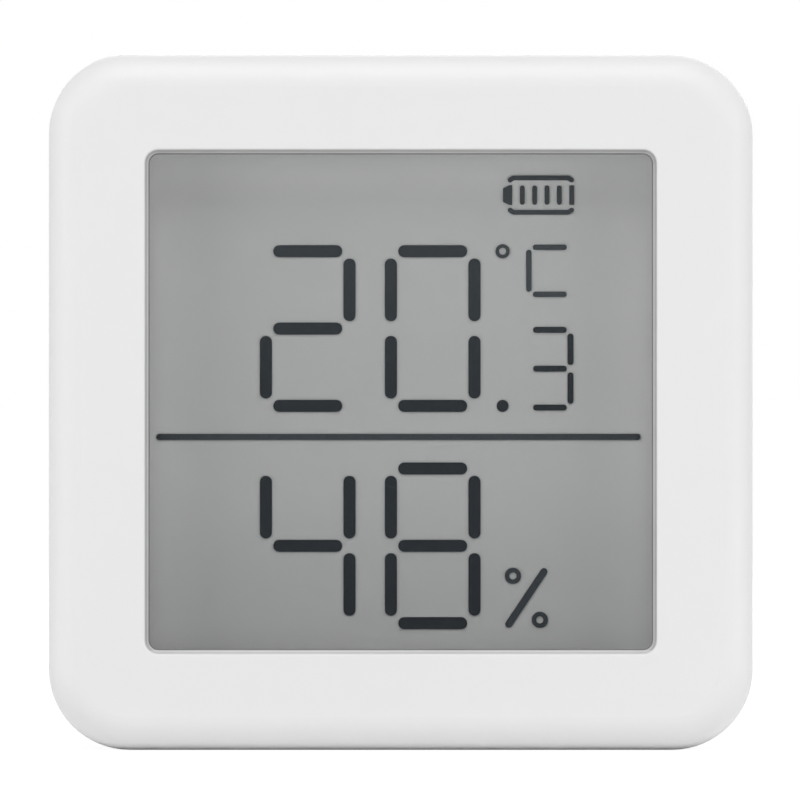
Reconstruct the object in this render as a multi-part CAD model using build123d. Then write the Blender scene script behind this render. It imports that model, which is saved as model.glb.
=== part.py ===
"""Square desk meter for room temperature and humidity, run from two small round cells.

A white two-part case holds a segment display behind a clear window, a circuit board and a cell bay.
A hinged door closes the bay, a fold-out leg leans the case back, and a button changes the unit.
Millimetres. X runs to the viewer's right, Y from the face to the back, Z up from the table.
The origin is on the table, under the middle of the case.
"""
import os
from math import atan, cos, degrees, pi, radians, sin

from build123d import *

# Whole case
face_border = 7.5
corner_radius = 6.3
face_edge_radius = 2.6
back_edge_radius = 1.5
seam_bevel = 0.15
fit_gap = 0.1
overrun = 1.0

# Front shell
front_shell_depth = 15.0
face_wall = 1.6
side_wall = 1.8
rim_wall = 0.9
opening_height = 39.4
opening_corner_radius = 1.1
opening_lean = 0.38
opening_edge_radius = 0.15
window_rib_width = 0.8
window_rib_height = 0.7
boss_to_pane = 0.5
boss_to_end = 4.6
boss_radius = 1.5
vent_count = 5
vent_pitch = 2.0
vent_height = 1.0
vent_length = 5.4
vent_middle_z = 13.9
vent_to_seam = 2.0

# Window and the black tape that holds it
window_overlap = 2.0
window_thickness = 1.0
window_corner_radius = 2.0
tape_thickness = 0.15
tape_setback = 0.25

# Display cell: two panes with a sealed gap, a film on each side
pane_side_overlap = 1.28
pane_end_overlap = 1.38
pane_ledge = 2.5
pane_thickness = 1.1
pane_corner_radius = 0.3
liquid_gap = 0.1
seal_width = 0.6
seal_inset = 0.15
film_inset = 0.5
front_film_thickness = 0.2
rear_film_thickness = 0.25
window_to_film = 0.1

# Large digits of the display, across from the middle of the case and up from the opening's lower edge
digit_half_width = 3.27
digit_stroke = 0.95
digit_joint = 1.14
tens_x = -7.28
digit_pitch = 9.78
digit_bottom_margin = 2.0
digit_group_gap = 4.9
digit_top_band = 7.54

# Tenths digit, point and unit signs
tenths_half_width = 1.61
tenths_stroke = 0.47
tenths_joint = 0.58
tenths_x = 11.67
tenths_drop = 0.13
tenths_to_celsius = 2.78
point_x = 7.97
point_radius = 0.47
degree_radius = 0.56
degree_hole_radius = 0.27
celsius_x = 11.66
celsius_drop = 1.53
celsius_row_offset = 1.84
celsius_half_width = 1.64
celsius_across_length = 2.66
celsius_upright_length = 3.28
celsius_stroke = 0.43
percent_x = 9.83
percent_rise = 1.98
percent_ring_x_offset = 1.05
percent_ring_height_offset = 1.72
percent_ring_radius = 0.64
percent_ring_hole_radius = 0.28
percent_bar_length = 5.5
percent_bar_stroke = 0.56
percent_bar_angle = 56.2
divider_x = -0.18
divider_rise = 2.47
divider_margin = 0.67
divider_stroke = 0.49

# Cell symbol of the display
symbol_x = 10.96
symbol_drop = 3.15
symbol_rail_length = 5.23
symbol_rail_offset = 1.345
symbol_stroke = 0.38
symbol_rail_tip_length = 0.62
symbol_rail_tip_drop = 0.1
symbol_rail_tip_angle = 35.0
symbol_bar_count = 4
symbol_bar_pitch = 0.965
symbol_bar_length = 1.52
symbol_end_bar_x_offset = 2.42
symbol_nub_x_offset = 2.6
symbol_nub_width = 0.72
symbol_nub_root_width = 0.24
symbol_nub_height = 1.55
symbol_nub_tip_height = 1.05

# Frame round the display cell, and the rubber strips that connect it to the board
frame_wall = 0.8
frame_lip_reach = 0.4
strip_height = 2.4
strip_width = 1.4
strip_end_gap = 1.9
peg_radius = 0.6
peg_ear_radius = 1.1
peg_ear_length = 1.6
peg_head_radius = 0.95
peg_head_height = 0.4

# Circuit board and its screws
board_side_gap = 0.5
board_thickness = 1.0
board_corner_radius = 3.6
screw_thread_radius = 0.8
screw_length = 4.0
screw_head_radius = 1.4
screw_head_height = 1.0
screw_cross_width = 0.4
screw_cross_span = 1.7
screw_cross_depth = 0.5
thread_gap = 0.02

# Parts on the board
switch_z = 11.6
switch_size = 6.0
switch_height = 3.5
switch_plunger_radius = 1.75
switch_plunger_rise = 1.5
switch_plunger_depth = 1.0
switch_travel = 0.4
sensor_from_side = 5.3
sensor_size = 3.0
sensor_height = 1.1
sensor_port_radius = 0.5
sensor_port_depth = 0.4
relief_slot_width = 0.8
relief_slot_distance = 3.6
relief_slot_length = 6.0
relief_end_slot_length = 3.0
board_room = 2.7
radio_shift = 1.0
radio_to_antenna = 2.5
radio_size = 5.0
radio_height = 0.85
crystal_length = 3.2
crystal_width = 2.5
crystal_height = 0.7
crystal_distance = 6.0
driver_x = -2.0
driver_rise = -0.2
driver_width = 6.1
driver_length = 12.5
driver_height = 1.0
driver_standoff = 0.1
driver_lead_count = 16
driver_lead_pitch = 0.7
driver_lead_width = 0.3
driver_lead_reach = 1.0
driver_lead_thickness = 0.15
tank_from_edge = 9.2
tank_rise = -2.2
tank_length = 3.5
tank_width = 2.8
tank_height = 1.9
chip_length = 1.6
chip_width = 0.8
chip_height = 0.6
chip_pitch = 1.6
chip_column_count = 5
chip_row_distance = 4.2
radio_row_distance = 5.4
antenna_from_edge = 15.2
antenna_edge_distance = 1.2
antenna_fingers = 5
antenna_finger_pitch = 2.2
antenna_finger_height = 3.6
antenna_trace_width = 0.6
antenna_trace_thickness = 0.05

# Foam round the sensor and the wall that presses on it
chamber_side_gap = 0.3
chamber_depth_x = 7.0
chamber_height = 11.0
chamber_wall = 0.9
gasket_thickness = 2.0
gasket_width = 1.6

# Back shell
back_wall = 1.6
back_side_wall = 1.6
tongue_length = 1.3
tongue_wall = 0.8
slip_gap = 0.05
hook_width = 5.0
hook_thickness = 1.0
hook_reach = 4.2
hook_wall_gap = 0.15
hook_bump_height = 0.45
hook_bump_length = 1.2
top_hook_x = 13.0
strap_from_side = 8.5
strap_hole_width = 3.6
strap_hole_height = 1.8
strap_hole_below_top = 2.3
strap_block_wall = 1.0

# Cells and their bay
cell_radius = 5.25
cell_length = 44.5
cell_nub_radius = 1.9
cell_nub_height = 0.9
cell_jacket_thickness = 0.1
cell_jacket_lip = 1.1
cell_can_wall = 0.25
cell_edge_radius = 0.6
cell_to_cell = 0.7
bay_gap = 0.2
bay_wall = 1.0
bay_to_side = 3.25

# Contacts in the bay
contact_thickness = 0.3
contact_corner_gap = 0.22
contact_tail_width = 1.8
contact_tail_past_board = 0.6
contact_slot_gap = 0.1
dimple_height = 0.8
dimple_base_radius = 2.4
dimple_tip_radius = 1.6
spring_height = 2.6
spring_wire_radius = 0.2
spring_turns = 3
spring_wide_radius = 3.0
spring_narrow_radius = 1.4
spring_touch_gap = 0.03

# Door over the bay
door_thickness = 1.4
door_gap = 0.15
door_end_lip = 0.55
door_top_overlap = 0.35
door_barrel_radius = 1.0
door_edge_radius = 0.3
stub_radius = 0.7
stub_length = 1.0
stub_gap = 0.05
cheek_margin = 0.95
sill_thickness = 1.0
pad_thickness = 0.5
pad_width = 36.0
pad_height = 14.0
pad_corner_radius = 1.5
pad_to_cell = 0.15
latch_width = 9.6
latch_arm_thickness = 0.75
latch_arm_space = 0.85
latch_depth = 3.6
latch_wall_gap = 0.2
latch_tip_recess = 0.2
latch_bump_radius = 0.45
latch_bump_rise = 0.3
latch_bump_depth = 2.0
latch_room = 0.45
latch_ridge = 0.2
latch_ridge_depth = 0.4
latch_floor = 0.8
latch_top_wall = 1.25

# Fold-out leg, its pin and its magnets
leg_width = 26.0
leg_side_gap = 0.2
leg_to_door = 1.7
leg_barrel_radius = 1.4
leg_heel_height = 2.2
leg_heel_depth = 1.2
leg_heel_round = 1.2
leg_plate_thickness = 2.55
leg_foot_height = 0.4
leg_foot_radius = 1.4
leg_floor_gap = 0.2
leg_open_angle = 42.0
leg_stop_gap = 0.05
pin_radius = 0.75
pin_bore_gap = 0.05
pin_seat_gap = 0.01
pin_seat_length = 1.9
pin_cheek_length = 2.3
pin_cheek_radius = 1.8
pin_throat = 1.3
pocket_wall = 1.2
pocket_floor = 1.0
grip_count = 3
grip_pitch = 1.3
grip_depth = 0.3
grip_width = 12.0
grip_above_foot = 2.0
magnet_radius = 4.0
magnet_thickness = 1.4
magnet_to_end = 2.0
magnet_gap = 0.05

# Unit button
button_radius = 2.5
button_gap = 0.1
button_recess = 0.2
button_flange_radius = 3.2
button_flange_thickness = 0.8
button_stem_radius = 1.2
button_edge_radius = 0.3
button_guide_wall = 1.2
button_guide_length = 1.45
button_guide_to_flange = 0.15
button_dish_radius = 3.6
button_dish_depth = 0.5

# Sizes that follow from those above
trough_radius = cell_radius + bay_gap
cell_offset = cell_radius + cell_to_cell / 2
cell_shift = (spring_height - dimple_height) / 2
contact_size = 2**0.5 * (trough_radius - contact_corner_gap)
bay_half_length = (cell_length + spring_height + dimple_height) / 2 + contact_thickness
body_width = 2 * (bay_half_length + bay_to_side)
opening_width = body_width - 2 * face_border
body_height = opening_height + 2 * face_border
opening_back_width = opening_width - 2 * opening_lean
opening_back_height = opening_height - 2 * opening_lean
window_width = opening_width + 2 * window_overlap
window_height = opening_height + 2 * window_overlap
pane_width = opening_back_width + 2 * pane_side_overlap
rear_pane_height = opening_back_height + 2 * pane_end_overlap
front_pane_height = rear_pane_height + 2 * pane_ledge
divider_length = opening_back_width - 2 * divider_margin
digit_rows_height = opening_back_height - digit_top_band - digit_group_gap - digit_bottom_margin
digit_row_pitch = digit_rows_height / 4
digit_across_length = 2 * digit_half_width - digit_joint
digit_upright_length = digit_row_pitch - digit_joint
celsius_band = celsius_drop + celsius_row_offset
tenths_row_pitch = digit_row_pitch - (celsius_band + tenths_to_celsius - tenths_drop) / 2
tenths_across_length = 2 * tenths_half_width - tenths_joint
tenths_upright_length = tenths_row_pitch - tenths_joint
frame_inner_width = pane_width + 2 * fit_gap
frame_inner_height = front_pane_height + 2 * fit_gap
frame_width = frame_inner_width + 2 * frame_wall
frame_height = frame_inner_height + 2 * frame_wall
board_width = body_width - 2 * (side_wall + board_side_gap)
board_height = body_height - 2 * (side_wall + board_side_gap)
door_opening_width = 2 * (bay_half_length - door_end_lip)
door_width = door_opening_width - 2 * door_gap
pocket_width = leg_width + 2 * leg_side_gap
display_depth = tape_thickness + window_thickness + window_to_film + front_film_thickness + pane_thickness
cell_depth = bay_wall + trough_radius + cell_radius + pad_to_cell + pad_thickness + door_thickness
body_depth = face_wall + display_depth + strip_height + board_thickness + board_room + cell_depth

# Places that follow from the sizes above
y_face = -body_depth / 2
y_back = body_depth / 2
y_seam = y_face + front_shell_depth
z_mid = body_height / 2
humidity_height = digit_bottom_margin + digit_row_pitch - opening_back_height / 2
temperature_height = humidity_height + 2 * digit_row_pitch + digit_group_gap
divider_height = humidity_height + digit_row_pitch + divider_rise
degree_height = temperature_height + digit_row_pitch
celsius_height = degree_height - celsius_drop
tenths_height = temperature_height - digit_row_pitch - tenths_drop + tenths_row_pitch
percent_height = humidity_height - digit_row_pitch + percent_rise
symbol_height = opening_back_height / 2 - symbol_drop
y_wall_in = y_face + face_wall
y_window = y_wall_in + tape_thickness
y_window_back = y_window + window_thickness
y_film = y_window_back + window_to_film
y_pane = y_film + front_film_thickness
y_liquid = y_pane + pane_thickness
y_liquid_back = y_liquid + liquid_gap
y_rear_pane_back = y_liquid_back + pane_thickness
y_film_back = y_rear_pane_back + rear_film_thickness
y_board = y_liquid + strip_height
y_board_back = y_board + board_thickness
boss_x = pane_width / 2 + boss_to_pane + boss_radius
boss_offset_z = body_height / 2 - boss_to_end
y_back_wall = y_back - back_wall
y_door_in = y_back - door_thickness
cell_y = y_door_in - pad_thickness - pad_to_cell - cell_radius
latch_pocket_high_z = body_height - back_side_wall - latch_top_wall
latch_high_z = latch_pocket_high_z - latch_room
door_opening_high_z = latch_high_z - 2 * latch_arm_thickness - latch_arm_space - latch_wall_gap
door_top_z = door_opening_high_z - door_gap
bay_high_z = door_top_z - door_top_overlap
bay_middle_z = bay_high_z - trough_radius - cell_offset
bay_low_z = bay_middle_z - cell_offset - trough_radius
door_axis_y = y_back - door_barrel_radius
door_axis_z = bay_low_z - door_barrel_radius / 2
door_opening_low_z = door_axis_z - door_barrel_radius - door_gap
pocket_top_z = door_opening_low_z - leg_to_door
leg_axis_y = y_back - leg_barrel_radius
leg_axis_z = pocket_top_z - leg_floor_gap - leg_heel_height
y_leg_in = y_back - leg_plate_thickness
y_pocket_floor = y_leg_in - leg_floor_gap
heel_reach = leg_heel_depth * cos(radians(leg_open_angle)) + leg_heel_height * sin(radians(leg_open_angle))
y_trough_floor = leg_axis_y - heel_reach - leg_stop_gap
magnet_z = (leg_foot_height + leg_axis_z) / 2
magnet_x = leg_width / 2 - magnet_to_end - magnet_radius
bottom_hook_x = (pocket_width / 2 + pocket_wall + body_width / 2 - corner_radius) / 2
gasket_high_z = vent_middle_z + chamber_height / 2 + gasket_width
peg_x = frame_width / 2 + peg_radius
peg_low_z = (gasket_high_z + bay_middle_z - cell_offset - contact_tail_width / 2) / 2
sensor_x = sensor_from_side - body_width / 2
switch_x = (pocket_width / 2 + pocket_wall + body_width / 2 - side_wall) / 2
antenna_high_z = z_mid + board_height / 2 - antenna_edge_distance
antenna_low_z = antenna_high_z - antenna_finger_height
radio_z = antenna_low_z - antenna_trace_width / 2 - radio_to_antenna - radio_size / 2
antenna_x = board_width / 2 - antenna_from_edge
radio_x = antenna_x - radio_shift
tank_x = board_width / 2 - tank_from_edge
driver_z = z_mid + driver_rise
strap_x = body_width / 2 - strap_from_side
strap_high_z = body_height - strap_hole_below_top
strap_low_z = strap_high_z - strap_hole_height
y_switch_top = y_board_back + switch_height
y_button_tip = y_switch_top + switch_plunger_rise


def block(x_span, y_span, z_span):
    """A box between a low and a high end on each axis."""
    spans = (x_span, y_span, z_span)
    middle = [(low + high) / 2 for low, high in spans]
    return Pos(*middle) * Box(*[high - low for low, high in spans])


def face_plane(y, x=0, z=z_mid):
    """A plane seen as the face is seen, with its own X to the right and its own Y up."""
    return Plane(origin=(x, y, z), x_dir=(1, 0, 0), z_dir=(0, -1, 0))


def side_plane(x):
    """A plane across the case, with its own X to the back and its own Y up."""
    return Plane(origin=(x, 0, 0), x_dir=(0, 1, 0), z_dir=(1, 0, 0))


def plate(sketch, y_front, y_rear, x=0, z=z_mid):
    """A flat outline, drawn as seen from the face, filled from y_front to y_rear."""
    return extrude(face_plane(y_rear, x, z) * sketch, y_rear - y_front)


def slab(width, height, radius, y_front, y_rear, x=0, z=z_mid):
    """A rounded rectangle facing the viewer, from y_front to y_rear."""
    return plate(RectangleRounded(width, height, radius), y_front, y_rear, x, z)


def rod_y(radius, y_front, y_rear, x, z):
    """A round bar that runs from the face towards the back."""
    return plate(Circle(radius), y_front, y_rear, x, z)


def rod_x(radius, x_low, x_high, y, z):
    """A round bar that runs from left to right."""
    return extrude(side_plane(x_low) * Pos(y, z) * Circle(radius), x_high - x_low)


def both_sides(x):
    """The two mirrored places of a piece that sits at x and at -x."""
    return (-x, x)


def corners():
    """The four corner places of the bosses and screws."""
    return [(x, z_mid + dz) for x in both_sides(boss_x) for dz in both_sides(boss_offset_z)]


def case_block(inset, y_front, y_rear):
    """The case outline drawn in by inset all round."""
    return slab(body_width - 2 * inset, body_height - 2 * inset, corner_radius - inset, y_front, y_rear)


def vent_slots():
    """Air slots through both side walls, level with the sensor."""
    slot_y = y_seam - vent_to_seam - vent_length / 2
    slots = []
    for row in range(vent_count):
        z = vent_middle_z + (row - (vent_count - 1) / 2) * vent_pitch
        outline = Pos(slot_y, z) * SlotOverall(vent_length, vent_height)
        slots.append(extrude(side_plane(-body_width) * outline, 2 * body_width))
    return slots


def hook_places():
    """Middle X, and the direction of the wall, of each snap hook."""
    top = [(x, 1) for x in both_sides(top_hook_x)]
    bottom = [(x, -1) for x in both_sides(bottom_hook_x)]
    return top + bottom


def wall_span(side, near, far):
    """A Z span that lies between two distances in from the top (1) or the bottom (-1) of the case."""
    ends = [z_mid + side * (body_height / 2 - distance) for distance in (near, far)]
    return (min(ends), max(ends))


def make_front_shell():
    """White shell with the display opening, bosses, hook pockets and vents."""
    shell = case_block(0, y_face, y_seam)
    shell = fillet(shell.faces().sort_by(Axis.Y)[0].edges(), face_edge_radius)
    shell = chamfer(shell.faces().sort_by(Axis.Y)[-1].edges(), seam_bevel)
    shell -= case_block(side_wall, y_wall_in, y_seam)
    shell -= case_block(rim_wall, y_seam - tongue_length - fit_gap, y_seam)

    rib_width = window_width + 2 * (fit_gap + window_rib_width)
    rib_height = window_height + 2 * (fit_gap + window_rib_width)
    rib_radius = window_corner_radius + fit_gap + window_rib_width
    rib = slab(rib_width, rib_height, rib_radius, y_wall_in, y_wall_in + window_rib_height)
    seat = slab(
        window_width + 2 * fit_gap,
        window_height + 2 * fit_gap,
        window_corner_radius + fit_gap,
        y_wall_in,
        y_wall_in + window_rib_height,
    )
    shell += rib - seat

    for x, z in corners():
        boss = rod_y(boss_radius, y_wall_in, y_board, x, z)
        shell += boss & case_block(side_wall / 2, y_wall_in, y_board)
    for x, z in corners():
        depth = screw_length - board_thickness + fit_gap
        shell -= rod_y(screw_thread_radius + thread_gap, y_board - depth, y_board, x, z)

    opening_plane = Plane(origin=(0, y_face, z_mid), x_dir=(1, 0, 0), z_dir=(0, 1, 0))
    outline = RectangleRounded(opening_width, opening_height, opening_corner_radius)
    lean_angle = degrees(atan(opening_lean / face_wall))
    shell -= extrude(opening_plane * outline, face_wall, taper=lean_angle)
    face = shell.faces().filter_by(Axis.Y).sort_by(Axis.Y)[0]
    shell = fillet(face.inner_wires()[0].edges(), opening_edge_radius)

    for x, side in hook_places():
        pocket_x = (x - hook_width / 2 - fit_gap, x + hook_width / 2 + fit_gap)
        tip = y_seam - hook_reach
        pocket_y = (tip - fit_gap, tip + hook_bump_length + fit_gap)
        bump_depth = side_wall + hook_wall_gap - hook_bump_height - fit_gap
        shell -= block(pocket_x, pocket_y, wall_span(side, bump_depth, side_wall + overrun))
    for slot in vent_slots():
        shell -= slot
    return shell


def make_window_tape():
    """Black adhesive frame between the face wall and the window."""
    inner_width = opening_back_width + 2 * tape_setback
    inner_height = opening_back_height + 2 * tape_setback
    tape = slab(window_width, window_height, window_corner_radius, y_wall_in, y_window)
    return tape - slab(inner_width, inner_height, opening_corner_radius, y_wall_in, y_window)


def make_window():
    """Clear window behind the opening."""
    return slab(window_width, window_height, window_corner_radius, y_window, y_window_back)


def make_film(y_front, y_rear):
    """A film on one side of the display cell."""
    width = pane_width - 2 * film_inset
    height = rear_pane_height - 2 * film_inset
    return slab(width, height, pane_corner_radius, y_front, y_rear)


def make_pane(height, y_front):
    """One glass pane of the display cell."""
    return slab(pane_width, height, pane_corner_radius, y_front, y_front + pane_thickness)


def make_edge_seal():
    """Glue ring that closes the gap between the panes."""
    width = pane_width - 2 * seal_inset
    height = rear_pane_height - 2 * seal_inset
    ring = slab(width, height, pane_corner_radius, y_liquid, y_liquid_back)
    return ring - slab(
        width - 2 * seal_width, height - 2 * seal_width, pane_corner_radius, y_liquid, y_liquid_back
    )


def mark(sketch, x, height):
    """A dark shape of the display, at a place counted from the middle of the case."""
    return plate(sketch, y_liquid, y_liquid_back, x, z_mid + height)


def across(length, stroke, x, height):
    """A level bar with round ends."""
    return mark(SlotOverall(length, stroke), x, height)


def upright(length, stroke, x, height):
    """A standing bar with round ends."""
    return mark(SlotOverall(length, stroke, rotation=90), x, height)


def digit(lit, x, height, row_pitch, half_width, across_length, upright_length, stroke):
    """The lit bars of a seven-bar digit: a to f clockwise from the top, g in the middle."""
    level = {"a": row_pitch, "g": 0, "d": -row_pitch}
    standing = {"f": (-1, 1), "b": (1, 1), "e": (-1, -1), "c": (1, -1)}
    bars = []
    for name in lit:
        if name in level:
            bars.append(across(across_length, stroke, x, height + level[name]))
        else:
            side, row = standing[name]
            bar_height = height + row * row_pitch / 2
            bars.append(upright(upright_length, stroke, x + side * half_width, bar_height))
    return bars


def large_digit(lit, place, height):
    """A large digit, place 0 for the tens and 1 for the units."""
    x = tens_x + place * digit_pitch
    lengths = (digit_across_length, digit_upright_length, digit_stroke)
    return digit(lit, x, height, digit_row_pitch, digit_half_width, *lengths)


def make_temperature_digits():
    """The reading 20.3: two large digits, the point and the small tenths."""
    bars = large_digit("abged", 0, temperature_height) + large_digit("abcdef", 1, temperature_height)
    lengths = (tenths_across_length, tenths_upright_length, tenths_stroke)
    bars += digit("abgcd", tenths_x, tenths_height, tenths_row_pitch, tenths_half_width, *lengths)
    bars.append(mark(Circle(point_radius), point_x, temperature_height - digit_row_pitch))
    return Compound(bars)


def make_humidity_digits():
    """The reading 48."""
    return Compound(large_digit("fgbc", 0, humidity_height) + large_digit("abcdefg", 1, humidity_height))


def make_unit_signs():
    """The degree ring and C, and the percent sign."""
    signs = [mark(Circle(degree_radius) - Circle(degree_hole_radius), point_x, degree_height)]
    for side in (-1, 1):
        row_height = celsius_height + side * celsius_row_offset
        signs.append(across(celsius_across_length, celsius_stroke, celsius_x, row_height))
    upright_x = celsius_x - celsius_half_width
    signs.append(upright(celsius_upright_length, celsius_stroke, upright_x, celsius_height))
    for side in (-1, 1):
        ring = Circle(percent_ring_radius) - Circle(percent_ring_hole_radius)
        ring_x = percent_x + side * percent_ring_x_offset
        signs.append(mark(ring, ring_x, percent_height - side * percent_ring_height_offset))
    bar = SlotOverall(percent_bar_length, percent_bar_stroke, rotation=percent_bar_angle)
    signs.append(mark(bar, percent_x, percent_height))
    return Compound(signs)


def make_divider_line():
    """The line between the two readings."""
    return across(divider_length, divider_stroke, divider_x, divider_height)


def make_cell_symbol():
    """The full-cell symbol: two rails with bent tips, four bars, an end bar and a nub."""
    marks = []
    tip_run = symbol_rail_tip_length / 2
    for side in (-1, 1):
        rail = SlotOverall(symbol_rail_length - 2 * tip_run, symbol_stroke)
        for end in (-1, 1):
            angle = -side * end * symbol_rail_tip_angle
            tip = SlotOverall(symbol_rail_tip_length, symbol_stroke, rotation=angle)
            reach = symbol_rail_length / 2 - tip_run
            drop = -side * symbol_rail_tip_drop
            rail += Pos(end * reach, drop) * tip
        marks.append(mark(rail, symbol_x, symbol_height + side * symbol_rail_offset))
    for number in range(symbol_bar_count):
        x = symbol_x + (number - (symbol_bar_count - 1) / 2) * symbol_bar_pitch
        marks.append(upright(symbol_bar_length, symbol_stroke, x, symbol_height))
    end_bar = Rectangle(symbol_stroke, symbol_bar_length)
    marks.append(mark(end_bar, symbol_x + symbol_end_bar_x_offset, symbol_height))
    nub_shape = Polygon(
        (0, -symbol_nub_height / 2),
        (0, symbol_nub_height / 2),
        (-symbol_nub_root_width, symbol_nub_height / 2),
        (-symbol_nub_width, symbol_nub_tip_height / 2),
        (-symbol_nub_width, -symbol_nub_tip_height / 2),
        (-symbol_nub_root_width, -symbol_nub_height / 2),
        align=None,
    )
    nub_x = symbol_x - symbol_nub_x_offset + symbol_nub_width / 2
    marks.append(mark(nub_shape, nub_x, symbol_height))
    return Compound(marks)


def peg_places():
    """Middle of each peg that joins the display frame to the board."""
    return [(x, z) for x in both_sides(peg_x) for z in (peg_low_z, bay_middle_z)]


def make_display_frame():
    """Frame that holds the display cell and strips, staked to the board with four pegs."""
    y_lip = y_window_back
    frame = slab(frame_width, frame_height, pane_corner_radius + frame_wall, y_lip, y_board)
    frame -= slab(frame_inner_width, frame_inner_height, pane_corner_radius, y_pane, y_board)
    lip_width = pane_width - 2 * frame_lip_reach
    lip_height = front_pane_height - 2 * frame_lip_reach
    frame -= slab(lip_width, lip_height, pane_corner_radius, y_lip, y_pane)
    for x, z in peg_places():
        ear = rod_y(peg_ear_radius, y_board - peg_ear_length, y_board, x, z)
        frame += ear - slab(frame_inner_width, frame_inner_height, pane_corner_radius, y_pane, y_board)
        frame += rod_y(peg_radius, y_board - peg_ear_length, y_board_back, x, z)
        frame += rod_y(peg_head_radius, y_board_back, y_board_back + peg_head_height, x, z)
    for x, z in corners():
        frame -= rod_y(boss_radius + fit_gap, y_lip, y_board, x, z)
    return frame


def make_contact_strip(side):
    """Striped rubber strip that joins the pane's ledge to the board."""
    ledge_middle = (rear_pane_height / 2 + front_pane_height / 2) / 2
    z = z_mid + side * ledge_middle
    half = pane_width / 2 - strip_end_gap
    return block((-half, half), (y_liquid, y_board), (z - strip_width / 2, z + strip_width / 2))


def tail_places():
    """Height of the solder tails of the right-hand contacts."""
    return [bay_middle_z + side * cell_offset for side in (-1, 1)]


def make_board():
    """Circuit board with screw, peg and tail holes, and slots that keep heat from the sensor."""
    board = slab(board_width, board_height, board_corner_radius, y_board, y_board_back)
    for x, z in corners():
        board -= rod_y(screw_thread_radius + fit_gap, y_board, y_board_back, x, z)
    for x, z in peg_places():
        board -= rod_y(peg_radius + slip_gap, y_board, y_board_back, x, z)
    tail_x = (bay_half_length - contact_thickness - contact_slot_gap, bay_half_length + contact_slot_gap)
    half_tail = contact_tail_width / 2 + contact_slot_gap
    for z in tail_places():
        board -= block(tail_x, (y_board, y_board_back), (z - half_tail, z + half_tail))
    slot = SlotOverall(relief_slot_length, relief_slot_width, rotation=90)
    board -= plate(slot, y_board, y_board_back, sensor_x + relief_slot_distance, vent_middle_z)
    slot = SlotOverall(relief_end_slot_length, relief_slot_width)
    for side in (-1, 1):
        z = vent_middle_z + side * relief_slot_distance
        board -= plate(slot, y_board, y_board_back, sensor_x, z)
    return board


def make_board_screws():
    """Four small cross-head screws that clamp the board to the bosses."""
    screws = []
    head_top = y_board_back + screw_head_height
    half_arm = screw_cross_span / 2
    for x, z in corners():
        screw = rod_y(screw_thread_radius, y_board_back - screw_length, y_board_back, x, z)
        screw += rod_y(screw_head_radius, y_board_back, head_top, x, z)
        slot_y = (head_top - screw_cross_depth, head_top)
        half_slot = screw_cross_width / 2
        screw -= block((x - half_arm, x + half_arm), slot_y, (z - half_slot, z + half_slot))
        screw -= block((x - half_slot, x + half_slot), slot_y, (z - half_arm, z + half_arm))
        screws.append(screw)
    return Compound(screws)


def on_board(width, height, thickness, x, z, standoff=0):
    """A box-shaped part on the back of the board."""
    y_low = y_board_back + standoff
    x_span = (x - width / 2, x + width / 2)
    return block(x_span, (y_low, y_low + thickness), (z - height / 2, z + height / 2))


def make_switch_body():
    """Push switch that the unit button works."""
    body = on_board(switch_size, switch_size, switch_height, switch_x, switch_z)
    bore_depth = switch_plunger_depth + switch_travel + fit_gap
    return body - rod_y(
        switch_plunger_radius + slip_gap, y_switch_top - bore_depth, y_switch_top, switch_x, switch_z
    )


def make_switch_plunger():
    """Round plunger of the push switch."""
    y_low = y_switch_top - switch_plunger_depth
    return rod_y(switch_plunger_radius, y_low, y_button_tip, switch_x, switch_z)


def make_humidity_sensor():
    """Small sensor chip with its air port."""
    chip = on_board(sensor_size, sensor_size, sensor_height, sensor_x, vent_middle_z)
    top = y_board_back + sensor_height
    return chip - rod_y(sensor_port_radius, top - sensor_port_depth, top, sensor_x, vent_middle_z)


def make_radio_chip():
    """Radio and control chip."""
    return on_board(radio_size, radio_size, radio_height, radio_x, radio_z)


def make_crystals():
    """Two clock crystals beside the radio chip."""
    beside = on_board(
        crystal_width, crystal_length, crystal_height, radio_x - crystal_distance, radio_z
    )
    below = on_board(crystal_length, crystal_width, crystal_height, radio_x, radio_z - crystal_distance)
    return Compound([beside, below])


def make_driver_chip():
    """Display driver chip."""
    return on_board(driver_width, driver_length, driver_height, driver_x, driver_z, driver_standoff)


def make_driver_leads():
    """Bent leads along both long sides of the driver chip."""
    leads = []
    rise = driver_standoff + driver_height / 2
    for side in (-1, 1):
        for number in range(driver_lead_count):
            z = driver_z + (number - (driver_lead_count - 1) / 2) * driver_lead_pitch
            inner_x = driver_x + side * driver_width / 2
            knee_x = inner_x + side * driver_lead_reach / 2
            outer_x = inner_x + side * driver_lead_reach
            thick = driver_lead_thickness
            half = driver_lead_width / 2
            z_span = (z - half, z + half)
            y_foot = (y_board_back, y_board_back + thick)
            foot = block(sorted((knee_x, outer_x)), y_foot, z_span)
            leg_x = sorted((knee_x - side * thick, knee_x))
            leg = block(leg_x, (y_board_back, y_board_back + rise + thick), z_span)
            shoulder_y = (y_board_back + rise, y_board_back + rise + thick)
            shoulder = block(sorted((inner_x, knee_x)), shoulder_y, z_span)
            leads.append(foot + leg + shoulder)
    return Compound(leads)


def make_tank_capacitor():
    """Moulded capacitor that steadies the supply."""
    return on_board(tank_length, tank_width, tank_height, tank_x, z_mid + tank_rise)


def make_chip_parts():
    """Small resistors and capacitors in rows beside the two large chips."""
    chips = []
    for column in range(chip_column_count):
        step = (column - (chip_column_count - 1) / 2) * chip_pitch
        for side in (-1, 1):
            driver_row_x = driver_x + side * (driver_width / 2 + chip_row_distance)
            chips.append(on_board(chip_length, chip_width, chip_height, driver_row_x, driver_z + step))
        radio_row_x = radio_x + radio_row_distance
        chips.append(on_board(chip_length, chip_width, chip_height, radio_row_x, radio_z + step))
    return Compound(chips)


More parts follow.
